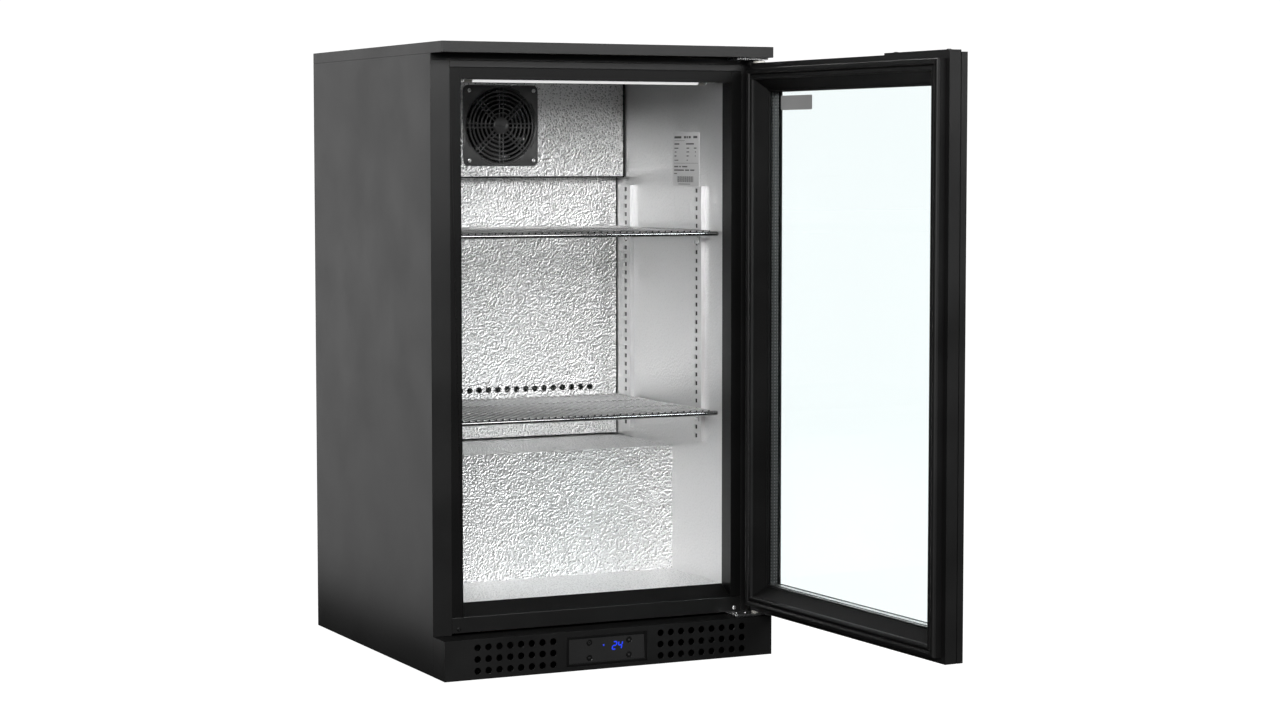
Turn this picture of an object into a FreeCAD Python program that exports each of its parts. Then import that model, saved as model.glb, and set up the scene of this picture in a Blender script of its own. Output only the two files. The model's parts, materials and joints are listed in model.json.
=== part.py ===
"""Undercounter refrigerator with one glass door, as a parametric FreeCAD document.

Millimetres. +Z is up and the door side faces -Y. The origin is on the floor, in the middle of the
cabinet's 500 x 515 footprint. Every driving size is a cell of the sheet "dims", and every sub-part
is an object whose sizes are bound to those cells. The door is built shut, then turned about its
hinge axis by open_angle, the pose in which the model rests.
"""

import FreeCAD, Part
import math
import os
import re
import Sketcher

V = FreeCAD.Vector

doc = FreeCAD.newDocument("undercounter_refrigerator")
sheet = doc.addObject("Spreadsheet::Sheet", "dims")

# alias, value, what it is
DIMENSIONS = (
    # the cabinet
    ("width", 500, "cabinet width"),
    ("depth", 515, "cabinet depth, slab and plinth included"),
    ("height", 870, "floor to worktop"),
    ("skin", 0.8, "sheet metal thickness"),
    ("gap", 0.1, "assembly gap between fixed pieces"),
    ("slab_thick", 15, "worktop slab thickness"),
    ("face_set", 42, "how far the body's front face stands behind the slab's edge"),
    ("wall", 42, "side wall, outside to liner"),
    ("rear_wall", 40, "rear wall, outside to liner"),
    ("ceiling_level", 827, "liner ceiling above the floor"),
    ("floor_level", 105, "liner floor above the floor"),
    ("flange", 28, "painted flange beside the door opening"),
    ("rear_flange", 15, "side panel's flange at the back"),
    ("face_top", 846, "top of the body's front face"),
    ("face_bottom", 67.5, "bottom of the body's front rail"),
    ("sill", 89, "top of the front rail"),
    ("lintel", 837, "bottom of the top rail"),
    ("opening_half", 206, "half the clear opening"),
    ("opening_top", 821, "top of the clear opening"),
    ("frame_deep", 28, "depth of the plastic opening frame"),
    ("frame_thick", 3, "wall of the plastic opening frame"),
    # the feet and the base
    ("foot_high", 10, "floor to base pan"),
    ("foot_radius", 15, "foot disc radius"),
    ("foot_disc", 8, "foot disc height"),
    ("stud_radius", 4, "foot stud radius"),
    ("stud_bore", 4.05, "threaded boss bore radius"),
    ("boss_radius", 9, "threaded boss radius"),
    ("boss_high", 14, "threaded boss height"),
    ("foot_x", 190, "foot centre from the middle"),
    ("foot_front", -182, "front feet"),
    ("foot_back", 212, "rear feet"),
    ("pan_thick", 1.5, "base pan thickness"),
    # the plinth grille and the controller
    ("plinth_high", 55, "plinth height"),
    ("plinth_sheet", 1.2, "plinth sheet thickness"),
    ("vent_radius", 4.75, "vent hole radius"),
    ("vent_pitch", 16, "vent hole pitch"),
    ("vent_low", 21.5, "lowest vent row above the floor"),
    ("vent_left", -202, "first vent hole of the left group"),
    ("vent_right", 74, "first vent hole of the right group"),
    ("panel_left", -70, "controller bezel, left edge"),
    ("panel_right", 53, "controller bezel, right edge"),
    ("panel_low", 16, "controller bezel, bottom edge"),
    ("panel_high", 58, "controller bezel, top edge"),
    ("panel_rim", 4, "controller bezel rim width"),
    ("panel_deep", 9, "controller bezel depth"),
    ("window_thick", 1.5, "controller window thickness"),
    ("button_radius", 4, "button radius"),
    ("button_hole", 4.35, "hole around a button"),
    ("button_long", 2.4, "button length"),
    ("button_left", -35, "left button column"),
    ("button_right", 25.5, "right button column"),
    ("button_low", 26.5, "lower button row above the floor"),
    ("button_high", 47.5, "upper button row above the floor"),
    # the machine room and the step over it
    ("step_front", -24.5, "front of the step in the liner"),
    ("step_top", 289, "top of the step in the liner"),
    ("room_front", 8, "front of the machine room"),
    ("room_top", 252, "top of the machine room"),
    ("cover_set", 10, "how far the machine room's cover stands in from the back"),
    ("gland_x", -195, "supply cable gland from the middle"),
    ("gland_z", 36, "supply cable gland above the floor"),
    ("gland_radius", 8, "gland body radius"),
    ("gland_bore", 4, "gland bore radius"),
    ("gland_long", 10, "gland length"),
    ("gland_inside", 2, "how far the gland reaches into the machine room"),
    # air duct and evaporator
    ("cover_front", 139.5, "front of the evaporator cover"),
    ("cover_low", 687, "bottom of the evaporator cover"),
    ("duct_front", 167.5, "front of the air duct panel"),
    ("duct_low", 292, "bottom of the air duct panel"),
    ("duct_hole_z", 364.5, "row of air holes above the floor"),
    ("duct_hole_radius", 4.75, "air hole radius"),
    ("duct_hole_pitch", 15.3, "air hole pitch"),
    ("duct_hole_left", -160, "first air hole"),
    ("fan_x", 2, "evaporator fan centre"),
    ("fan_z", 763, "evaporator fan centre above the floor"),
    ("fan_size", 120, "fan guard side"),
    ("fan_throat", 55, "fan throat radius"),
    ("guard_thick", 5, "fan guard thickness"),
    ("shaft_radius", 2, "fan shaft radius"),
    ("shaft_bore", 2.05, "fan hub bore radius"),
    ("blade_reach", 52, "evaporator fan blade tip radius"),
    # shelves
    ("upper_shelf", 607, "upper shelf rod centre above the floor"),
    ("lower_shelf", 350, "lower shelf rod centre above the floor"),
    ("rod_radius", 3.25, "shelf front and back rod radius"),
    ("stay_radius", 2.5, "shelf side and cross rod radius"),
    ("wire_radius", 1.1, "shelf wire radius"),
    ("wire_pitch", 10, "shelf wire pitch"),
    ("shelf_half", 205, "half the shelf's width"),
    ("shelf_front", -177.5, "front rod of a shelf"),
    ("shelf_back", 142, "back rod of a shelf"),
    ("stay_x", 195, "side rods of a shelf"),
    ("strip_wide", 22, "shelf support strip width"),
    ("strip_deep", 6.5, "shelf support strip depth"),
    ("strip_low", 304, "shelf support strip bottom"),
    ("strip_high", 674, "shelf support strip top"),
    ("strip_sheet", 1.2, "shelf support strip sheet"),
    ("strip_pitch", 12.7, "slot pitch in the strips"),
    ("strip_front", -119.5, "front strips' middle"),
    ("strip_back", 118, "rear strips' middle"),
    # the lamp
    ("lamp_half", 186, "half the lamp's length"),
    ("lamp_y", -172, "lamp axis"),
    ("lamp_radius", 6, "lamp diffuser radius"),
    ("lamp_base", 3, "lamp channel height"),
    # the door, built shut
    ("hinge_x", 238, "hinge axis from the middle"),
    ("hinge_y", -237.5, "hinge axis, front to back"),
    ("open_angle", 92, "door opening in the rest pose"),
    ("door_half", 248, "half the door's width"),
    ("door_low", 71, "door bottom above the floor"),
    ("door_high", 848, "door top above the floor"),
    ("door_deep", 27, "door profile depth"),
    ("door_rail", 41, "door profile width seen from the front"),
    ("door_box", 28, "hollow part of the door profile"),
    ("door_sheet", 1.8, "door profile wall"),
    ("groove", 1.5, "door profile groove, width and depth"),
    ("groove_y", 9, "door profile groove behind the door's front"),
    ("seal_edge", 8, "door edge to gasket"),
    ("seal_wide", 16, "gasket width"),
    ("seal_low", 36, "front of the gasket, behind the door's front"),
    ("seal_high", 41.5, "back of the gasket, behind the door's front"),
    ("glass_thick", 4, "pane thickness"),
    ("glass_inset", 30, "door edge to pane edge"),
    ("glass_outer", 2, "outer pane behind the door's front"),
    ("glass_inner", 15, "inner pane behind the door's front"),
    ("pin_radius", 4, "hinge pin radius"),
    ("pin_bore", 4.05, "hinge bush bore radius"),
    ("bush_radius", 6, "hinge bush radius"),
    ("bush_long", 16, "hinge bush length in the door"),
    ("bush_flange", 2.6, "hinge bush flange height"),
    ("pin_long", 16, "hinge pin length past its bracket"),
    ("bracket_thick", 3, "hinge bracket thickness"),
    ("screw_radius", 3, "screw head radius"),
    ("screw_head", 1.2, "screw head height"),
)

for row, (alias, value, meaning) in enumerate(DIMENSIONS, start=1):
    sheet.set(f"A{row}", meaning)
    sheet.set(f"B{row}", str(value))
    sheet.setAlias(f"B{row}", alias)
doc.recompute()
SIZES = {alias: float(value) for alias, value, _ in DIMENSIONS}

# A sheet of its own works out formulas for sketches, so that "dims" stays untouched.
reckoner = doc.addObject("Spreadsheet::Sheet", "reckoner")

# Places that many formulas share.
FRONT = "(-depth / 2)"
BACK = "(depth / 2)"
SIDE = "(width / 2)"
FACE = "(face_set - depth / 2)"
SLAB = "(height - slab_thick)"
INNER = "(width / 2 - wall)"
LINER_BACK = "(depth / 2 - rear_wall)"
PLINTH = "(foot_high + plinth_high)"
PAN = "(foot_high + pan_thick)"
FOAM_FRONT = "(face_set - depth / 2 + frame_thick + gap)"
COVER = "(depth / 2 - cover_set - skin)"

parts = []


def on_sheet(formula):
    """A formula of aliases, written as FreeCAD expects it."""
    return re.sub(r"[a-z]\w*", lambda alias: "dims." + alias.group(), str(formula))


def number(formula):
    """The value of a formula of aliases: sums, differences, products and quotients."""
    reckoner.set("A1", "=" + re.sub(r"[a-z]\w*", lambda alias: f"({SIZES[alias.group()]!r})", str(formula)))
    reckoner.recompute()
    return float(reckoner.get("A1"))


def bind(item, prop, formula):
    """Bind one property to a formula of aliases."""
    item.setExpression(prop, on_sheet(formula))


def sub_part(item, label):
    """Name a finished sub-part and keep it for export."""
    item.Label = label
    parts.append(item)
    return item


def place(item, at):
    """Bind an object's base point."""
    for axis, formula in zip("xyz", at):
        bind(item, f"Placement.Base.{axis}", formula)
    return item


def box(x, y, z):
    """A block between two formulas along each axis."""
    block = doc.addObject("Part::Box", "block")
    for prop, (low, high) in zip(("Length", "Width", "Height"), (x, y, z)):
        bind(block, prop, f"({high}) - ({low})")
    return place(block, (x[0], y[0], z[0]))


TURNS = {
    "x": FreeCAD.Rotation(V(0, 1, 0), 90),
    "y": FreeCAD.Rotation(V(1, 0, 0), -90),
    "z": FreeCAD.Rotation(),
}


def rod(radius, length, at, axis="z"):
    """A cylinder that starts at a point and runs along an axis."""
    bar = doc.addObject("Part::Cylinder", "rod")
    bind(bar, "Radius", radius)
    bind(bar, "Height", length)
    bar.Placement = FreeCAD.Placement(V(), TURNS[axis])
    return place(bar, at)


def ball(radius, at):
    """A sphere about a point."""
    item = doc.addObject("Part::Sphere", "ball")
    bind(item, "Radius", radius)
    return place(item, at)


def cut(base, *tools):
    """A solid with others taken out of it."""
    for tool in tools:
        rest = doc.addObject("Part::Cut", "cut")
        rest.Base = base
        rest.Tool = tool
        base = rest
    return base


def fuse(*items):
    """Solids that meet, made one."""
    whole = doc.addObject("Part::MultiFuse", "fuse")
    whole.Shapes = list(items)
    return whole


def group(*items):
    """Separate solids kept together."""
    held = doc.addObject("Part::Compound", "group")
    held.Links = list(items)
    return held


def common(first, second):
    """What two solids share."""
    shared = doc.addObject("Part::Common", "common")
    shared.Base = first
    shared.Tool = second
    return shared


def on_door(item):
    """Turn a piece that was built on the shut door to where the open door holds it."""
    hung = group(item)
    centre = "vector(dims.hinge_x; dims.hinge_y; 0)"
    turn = "rotation(vector(0; 0; 1); dims.open_angle)"
    hung.setExpression("Placement", f"placement(vector(0; 0; 0); {turn}; {centre})")
    return hung


def origin_plane(body, role):
    """One of a body's own origin planes."""
    return next(plane for plane in body.Origin.OriginFeatures if plane.Role == role)


def outline(body, role, points, offset="0"):
    """A closed sketch whose corners are held by dimensions bound to the sheet."""
    sketch = body.newObject("Sketcher::SketchObject", "outline")
    sketch.AttachmentSupport = (origin_plane(body, role), [""])
    sketch.MapMode = "FlatFace"
    bind(sketch, "AttachmentOffset.Base.z", offset)
    corners = [V(number(u), number(v), 0) for u, v in points]
    for here, there in zip(corners, corners[1:] + corners[:1]):
        sketch.addGeometry(Part.LineSegment(here, there))
    for line in range(len(corners)):
        sketch.addConstraint(Sketcher.Constraint("Coincident", line, 2, (line + 1) % len(corners), 1))
    for line, (corner, (u, v)) in enumerate(zip(corners, points)):
        for kind, value, formula in (("DistanceX", corner.x, u), ("DistanceY", corner.y, v)):
            held = sketch.addConstraint(Sketcher.Constraint(kind, -1, 1, line, 1, value))
            bind(sketch, f"Constraints[{held}]", formula)
    return sketch


def prism(role, points, start, length):
    """A body with one outline padded along the plane's normal (-Y on the XZ plane)."""
    body = doc.addObject("PartDesign::Body", "prism")
    pad = body.newObject("PartDesign::Pad", "pad")
    pad.Profile = outline(body, role, points, start)
    bind(pad, "Length", length)
    body.Tip = pad
    return body


def turned_body(points, at):
    """A body of revolution about a vertical axis, from an outline of radius and height."""
    body = doc.addObject("PartDesign::Body", "turned")
    turn = body.newObject("PartDesign::Revolution", "turn")
    turn.Profile = outline(body, "XZ_Plane", points)
    turn.ReferenceAxis = (body.Origin.OriginFeatures[2], [""])
    turn.Angle = 360
    body.Tip = turn
    return place(body, at)


def punch(body, role, offset, centre, radius, depth, pitches=(), reverse=False):
    """A round hole through a body, repeated along up to two of its axes.

    Each pitch is (origin axis, spacing, how many). The volume has to fall, or the pocket missed.
    """
    doc.recompute()
    before = body.Shape.Volume
    sketch = body.newObject("Sketcher::SketchObject", "hole")
    sketch.AttachmentSupport = (origin_plane(body, role), [""])
    sketch.MapMode = "FlatFace"
    bind(sketch, "AttachmentOffset.Base.z", offset)
    u, v = (number(formula) for formula in centre)
    sketch.addGeometry(Part.Circle(V(u, v, 0), V(0, 0, 1), number(radius)))
    for kind, value, formula in (("DistanceX", u, centre[0]), ("DistanceY", v, centre[1])):
        held = sketch.addConstraint(Sketcher.Constraint(kind, -1, 1, 0, 3, value))
        bind(sketch, f"Constraints[{held}]", formula)
    held = sketch.addConstraint(Sketcher.Constraint("Radius", 0, number(radius)))
    bind(sketch, f"Constraints[{held}]", radius)
    pocket = body.newObject("PartDesign::Pocket", "pocket")
    pocket.Profile = sketch
    bind(pocket, "Length", depth)
    pocket.Reversed = reverse
    body.Tip = pocket
    repeat_feature(body, pocket, pitches)
    doc.recompute()
    if not body.Shape.Volume < before - 1:
        raise RuntimeError("a pocket cut nothing")


def repeat_feature(body, feature, pitches):
    """Repeat a feature along one or two of the body's axes."""
    if not pitches:
        return
    pattern = body.newObject("PartDesign::LinearPattern", "pattern")
    pattern.Originals = [feature]
    for suffix, (axis, spacing, count) in zip(("", "2"), pitches):
        line = next(item for item in body.Origin.OriginFeatures if item.Role == axis)
        setattr(pattern, "Direction" + suffix, (line, [""]))
        setattr(pattern, "Mode" + suffix, "Spacing")
        bind(pattern, "Offset" + suffix, spacing)
        setattr(pattern, "Occurrences" + suffix, count)
    body.Tip = pattern


def mirror_x(low, high):
    """The mirror image of a span of X."""
    return (f"-({high})", f"-({low})")


# ---------------------------------------------------------------- the cabinet's outside


def top_cover():
    """The worktop: a folded tray of painted sheet, turned in under its front edge."""
    tray = box((f"-{SIDE}", SIDE), (FRONT, BACK), (SLAB, "height"))
    inside = box(
        (f"-{SIDE} + skin", f"{SIDE} - skin"),
        (f"{FRONT} + skin", f"{BACK} - skin"),
        (f"{SLAB} - skin", "height - skin"),
    )
    turned_in = box(
        (f"-{SIDE} + skin", f"{SIDE} - skin"), (f"{FRONT} + skin", f"{FACE} + skin"), (SLAB, f"{SLAB} + skin")
    )
    sub_part(fuse(cut(tray, inside), turned_in), "top_cover")


def outer_side(label, mirrored):
    """A side panel with a flange turned in at the front and one at the back."""
    flip = mirror_x if mirrored else lambda low, high: (low, high)
    panel = box(flip(f"-{SIDE}", f"-{SIDE} + skin"), (FACE, BACK), ("foot_high", SLAB))
    front = box(flip(f"-{SIDE}", f"-{SIDE} + flange"), (FACE, f"{FACE} + skin"), (PLINTH, "face_top"))
    back = box(
        flip(f"-{SIDE}", f"-{SIDE} + rear_flange"), (f"{BACK} - skin", BACK), ("foot_high", SLAB)
    )
    sub_part(fuse(panel, front, back), label)


def rear_panel():
    """The back sheet above the machine room."""
    span = f"({SIDE} - rear_flange - gap)"
    sub_part(box((f"-{span}", span), (f"{BACK} - skin", BACK), ("room_top", SLAB)), "rear_panel")


def front_rails():
    """The painted strips above and below the opening, and the set-back strip under the slab."""
    span = f"({SIDE} - flange - gap)"
    full = f"({SIDE} - skin - gap)"
    top = box((f"-{span}", span), (FACE, f"{FACE} + skin"), ("lintel", "face_top"))
    bottom = box((f"-{span}", span), (FACE, f"{FACE} + skin"), ("face_bottom", "sill"))
    neck = box(
        (f"-{full}", full), (f"{FACE} + 2 * skin", f"{FACE} + 3 * skin"), ("face_top + gap", SLAB)
    )
    sub_part(group(top, bottom, neck), "front_rails")


def base_pan():
    """The base pan with four threaded bosses for the feet."""
    span = f"({SIDE} - skin - gap)"
    pan = box((f"-{span}", span), (f"{FACE} + skin + gap", f"{BACK} - skin - gap"), ("foot_high", PAN))
    bosses = [
        rod("boss_radius", "boss_high", (f"{x} * foot_x", y, "foot_high"))
        for x in (-1, 1)
        for y in ("foot_front", "foot_back")
    ]
    bores = [
        rod("stud_bore", "boss_high + 2", (f"{x} * foot_x", y, "foot_high - 1"))
        for x in (-1, 1)
        for y in ("foot_front", "foot_back")
    ]
    sub_part(cut(fuse(pan, *bosses), *bores), "base_pan")


def foot(label, side, y):
    """A levelling foot: a disc and a stud, turned in one piece."""
    profile = (
        ("0", "0"),
        ("foot_radius - 1.5", "0"),
        ("foot_radius", "1.5"),
        ("foot_radius", "foot_disc"),
        ("stud_radius", "foot_disc"),
        ("stud_radius", "foot_high + boss_high + 4"),
        ("0", "foot_high + boss_high + 4"),
    )
    sub_part(turned_body(profile, (f"{side} * foot_x", y, "0")), label)


def machine_bulkhead():
    """The sheet under the insulation: under the floor, up the step and back over the machine room."""
    low = "face_bottom"
    points = (
        (f"{FACE} + skin + gap", low),
        ("room_front + skin", low),
        ("room_front + skin", "room_top - skin"),
        (f"{BACK} - skin - gap", "room_top - skin"),
        (f"{BACK} - skin - gap", "room_top"),
        ("room_front", "room_top"),
        ("room_front", f"{low} + skin"),
        (f"{FACE} + skin + gap", f"{low} + skin"),
    )
    span = f"({INNER} - gap)"
    sub_part(prism("YZ_Plane", points, f"-{span}", f"2 * {span}"), "machine_bulkhead")


def insulation():
    """The foam, as the slabs that fill each wall, the worktop, the floor and the step."""
    out = f"({SIDE} - skin - gap)"
    inn = f"({INNER} + skin + gap)"
    back = f"({BACK} - skin - gap)"
    under = f"({SLAB} - gap)"
    behind = f"({LINER_BACK} + skin + gap)"
    low = "(face_bottom + skin + gap)"
    room_back = (f"{COVER} - gland_inside - gap", "depth")
    walls = [
        cut(
            box(span, (FOAM_FRONT, back), (low, under)),
            box(("-width", "width"), room_back, (0, "room_top")),
        )
        for span in ((f"-{out}", f"-{inn}"), (inn, out))
    ]
    middle = (f"-{inn} + gap", f"{inn} - gap")
    between = (f"-{INNER} + gap", f"{INNER} - gap")
    slabs = [
        box(middle, (FOAM_FRONT, back), ("ceiling_level + skin + gap", under)),
        box(middle, (behind, back), ("step_top + gap", "ceiling_level + skin")),
        box(
            middle,
            (f"{FACE} + frame_deep + gap", "step_front + skin"),
            (low, "floor_level - skin - gap"),
        ),
        box(
            between,
            ("step_front + skin + gap", "room_front - gap"),
            (low, "step_top - skin - gap"),
        ),
        box(between, ("room_front", back), ("room_top + gap", "step_top - skin - gap")),
        box(
            (f"-{out}", out),
            (f"{FRONT} + skin + gap", back),
            (f"{SLAB} + skin + gap", "height - skin - gap"),
        ),
    ]
    sub_part(group(*walls, *slabs), "insulation_foam")


# ---------------------------------------------------------------- the liner and the opening


def liner():
    """Embossed aluminium panels: two sides, ceiling, rear, floor and the step over the machine room."""
    start = f"({FACE} + frame_thick + gap)"
    sides = [
        box(span, (start, LINER_BACK), ("floor_level - skin", "ceiling_level + skin"))
        for span in ((f"-{INNER} - skin", f"-{INNER}"), (INNER, f"{INNER} + skin"))
    ]
    sub_part(group(*sides), "liner_sides")
    across = (f"-{INNER}", INNER)
    sub_part(
        box(across, (start, LINER_BACK), ("ceiling_level", "ceiling_level + skin")), "liner_ceiling"
    )
    sub_part(
        box(across, (LINER_BACK, f"{LINER_BACK} + skin"), ("step_top", "ceiling_level + skin")),
        "liner_rear",
    )
    sub_part(
        box(
            across,
            (f"{FACE} + frame_deep + gap", "step_front"),
            ("floor_level - skin", "floor_level"),
        ),
        "liner_floor",
    )
    step = (
        ("step_front", "floor_level - skin"),
        ("step_front + skin", "floor_level - skin"),
        ("step_front + skin", "step_top - skin"),
        (LINER_BACK, "step_top - skin"),
        (LINER_BACK, "step_top"),
        ("step_front", "step_top"),
    )
    sub_part(prism("YZ_Plane", step, f"-{INNER}", f"2 * {INNER}"), "liner_step")


def opening_frame():
    """The black plastic frame round the opening: two jambs, a lintel and a sloping sill."""
    outer = f"({SIDE} - flange)"
    face = (FACE, f"{FACE} + frame_thick")
    leg = (f"{FACE} + frame_thick", f"{FACE} + frame_deep")
    jambs = []
    for flip in (lambda low, high: (low, high), mirror_x):
        plate = box(flip(f"-{outer}", "-opening_half"), face, ("sill", "lintel"))
        inner = box(
            flip(f"-{INNER}", "-opening_half"), leg, ("sill", "ceiling_level - gap")
        )
        jambs.append(fuse(plate, inner))
    across = ("-opening_half", "opening_half")
    lintel = fuse(
        box(across, face, ("opening_top", "lintel")),
        box(across, leg, ("opening_top", "ceiling_level - gap")),
    )
    slope = (
        (FACE, "sill"),
        (f"{FACE} + frame_deep", "floor_level"),
        (f"{FACE} + frame_deep", "floor_level - frame_thick"),
        (f"{FACE} + frame_thick", "sill"),
    )
    sill = prism("YZ_Plane", slope, "-opening_half", "2 * opening_half")
    sub_part(group(*jambs, lintel, sill), "opening_frame")


# ---------------------------------------------------------------- the plinth and the controller


def plinth_grille():
    """The plinth: a folded front, deck, bottom and two ends, with two groups of vents and a panel opening."""
    body = doc.addObject("PartDesign::Body", "plinth")
    fold = (
        (FRONT, "foot_high"),
        (f"{FRONT} + plinth_sheet", "foot_high"),
        (f"{FRONT} + plinth_sheet", f"{PLINTH} - plinth_sheet"),
        (f"{FACE} - gap", f"{PLINTH} - plinth_sheet"),
        (f"{FACE} - gap", PLINTH),
        (FRONT, PLINTH),
    )
    pad = body.newObject("PartDesign::Pad", "sheet")
    pad.Profile = outline(body, "YZ_Plane", fold, f"-{SIDE}")
    bind(pad, "Length", "width")
    body.Tip = pad
    doc.recompute()
    deep = "plinth_sheet + 2"
    for start, columns in (("vent_left", 8), ("vent_right", 9)):
        across = (("X_Axis", "vent_pitch", columns),)
        for row in range(3):
            # the XZ plane's normal is -Y, so an offset of +depth / 2 puts the sketch on the front
            first = (start, f"vent_low + {row} * vent_pitch")
            punch(body, "XZ_Plane", "depth / 2 + 1", first, "vent_radius", deep, across)
    window = box(
        ("panel_left - gap", "panel_right + gap"),
        (f"{FRONT} - 1", f"{FRONT} + plinth_sheet + 1"),
        ("panel_low - gap", "panel_high + gap"),
    )
    ends = [
        box(span, (f"{FRONT} + plinth_sheet", f"{FACE} - gap"), ("foot_high", f"{PLINTH} - plinth_sheet"))
        for span in (
            (f"-{SIDE}", f"-{SIDE} + plinth_sheet"),
            (f"{SIDE} - plinth_sheet", SIDE),
        )
    ]
    bottom = box(
        (f"-{SIDE}", SIDE),
        (f"{FRONT} + plinth_sheet", f"{FACE} - gap"),
        ("foot_high", "foot_high + plinth_sheet"),
    )
    sub_part(cut(fuse(body, *ends, bottom), window), "plinth_grille")


def controller():
    """The temperature controller: bezel, dark window, electronics and four push buttons."""
    front = f"({FRONT} + 0.3)"
    pane = f"({front} + 1)"
    sides = ("panel_left", "panel_right")
    ends = ("panel_low", "panel_high")
    inner_sides = ("panel_left + panel_rim", "panel_right - panel_rim")
    inner_ends = ("panel_low + panel_rim", "panel_high - panel_rim")
    bezel = cut(
        box(sides, (front, f"{front} + panel_deep"), ends),
        box(inner_sides, (f"{front} - 1", f"{front} + panel_deep + 1"), inner_ends),
    )
    sub_part(bezel, "controller_bezel")
    centres = [(x, z) for z in ("button_low", "button_high") for x in ("button_left", "button_right")]
    holes = [rod("button_hole", "window_thick + 2", (x, f"{pane} - 1", z), "y") for x, z in centres]
    window = box(
        ("panel_left + panel_rim + gap", "panel_right - panel_rim - gap"),
        (pane, f"{pane} + window_thick"),
        ("panel_low + panel_rim + gap", "panel_high - panel_rim - gap"),
    )
    sub_part(cut(window, *holes), "controller_window")
    module = box(
        ("panel_left + panel_rim + gap", "panel_right - panel_rim - gap"),
        (f"{pane} + 3.8", f"{FRONT} + 37"),
        ("panel_low + panel_rim + gap", "panel_high - panel_rim - gap"),
    )
    sub_part(module, "controller_module")
    names = ("button_lower_left", "button_lower_right", "button_upper_left", "button_upper_right")
    for label, (x, z) in zip(names, centres):
        sub_part(rod("button_radius", "button_long", (x, f"{pane} - 0.3", z), "y"), label)


# ---------------------------------------------------------------- evaporator, fan, duct and lamp


def evaporator_cover():
    """The sheet box in front of the evaporator, with the fan's throat cut in it."""
    span = f"({INNER} - gap)"
    fold = (
        ("cover_front", "cover_low"),
        ("duct_front - gap", "cover_low"),
        ("duct_front - gap", "cover_low + skin"),
        ("cover_front + skin", "cover_low + skin"),
        ("cover_front + skin", "ceiling_level - gap"),
        ("cover_front", "ceiling_level - gap"),
    )
    body = prism("YZ_Plane", fold, f"-{span}", f"2 * {span}")
    punch(
        body, "XZ_Plane", "-cover_front + 1", ("fan_x", "fan_z"), "fan_throat", "skin + 2"
    )
    sub_part(body, "evaporator_cover")


def fan_guard():
    """The finger guard: a square frame, a hub, rings and double spokes, fused flat."""
    front = "(cover_front - guard_thick)"
    half = "(fan_size / 2)"
    wire = 1.8
    across = (f"fan_x - {half}", f"fan_x + {half}")
    up = (f"fan_z - {half}", f"fan_z + {half}")
    frame = cut(
        box(across, (front, "cover_front"), up),
        rod("fan_throat", "guard_thick + 2", ("fan_x", f"{front} - 1", "fan_z"), "y"),
    )
    pieces = [frame, rod("13", "3", ("fan_x", front, "fan_z"), "y")]
    for radius in (19, 25.5, 32, 38.5, 45, 51):
        ring = cut(
            rod(radius + wire / 2, "2.2", ("fan_x", front, "fan_z"), "y"),
            rod(radius - wire / 2, "4.2", ("fan_x", f"{front} - 1", "fan_z"), "y"),
        )
        pieces.append(ring)
    for turn in range(8):
        for side in (-1, 1):
            spoke = doc.addObject("Part::Box", "spoke")
            bind(spoke, "Length", "fan_throat - 10")
            spoke.Width = wire
            spoke.Height = 2.4
            angle = turn * 45
            # the spoke's own Z lies along -Y, so it starts 2.4 behind the guard's front
            spoke.Placement = FreeCAD.Placement(
                V(), FreeCAD.Rotation(V(1, 0, 0), 90) * FreeCAD.Rotation(V(0, 0, 1), angle)
            )
            reach, aside = 11.0, side * 3.2 - wire / 2
            radial = (math.cos(math.radians(angle)), math.sin(math.radians(angle)))
            shift_x = reach * radial[0] - aside * radial[1]
            shift_z = reach * radial[1] + aside * radial[0]
            place(spoke, (f"fan_x + {shift_x:.4f}", f"{front} + 2.4", f"fan_z + {shift_z:.4f}"))
            pieces.append(spoke)
    sub_part(fuse(*pieces), "fan_guard")


def fan_blades(label, hub_radius, reach, count, pitch_angle, thick, at, shaft_bore):
    """An axial fan's hub and blades, on a bore along Y."""
    hub = rod(hub_radius, thick, at, "y")
    blades = []
    chord = 2 * math.pi * (hub_radius + reach) / 2 / count * 0.78
    for turn in range(count):
        blade = doc.addObject("Part::Box", "blade")
        blade.Length = reach - hub_radius + 2
        blade.Width = chord
        blade.Height = 1.6
        angle = turn * 360 / count
        tilt = FreeCAD.Rotation(V(1, 0, 0), pitch_angle)
        lie = FreeCAD.Rotation(V(1, 0, 0), 90) * FreeCAD.Rotation(V(0, 0, 1), angle)
        corner = (lie * tilt).multVec(V(0, -chord / 2, -0.8))
        root = lie.multVec(V(hub_radius - 2, 0, 0))
        blade.Placement = FreeCAD.Placement(V(), lie * tilt)
        offset = corner + root
        place(
            blade,
            (
                f"{at[0]} + ({offset.x:.4f})",
                f"{at[1]} + {thick / 2} + ({offset.y:.4f})",
                f"{at[2]} + ({offset.z:.4f})",
            ),
        )
        blades.append(blade)
    bore = rod(shaft_bore, thick + 2, (at[0], f"{at[1]} - 1", at[2]), "y")
    sub_part(cut(fuse(hub, *blades), bore), label)


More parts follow.
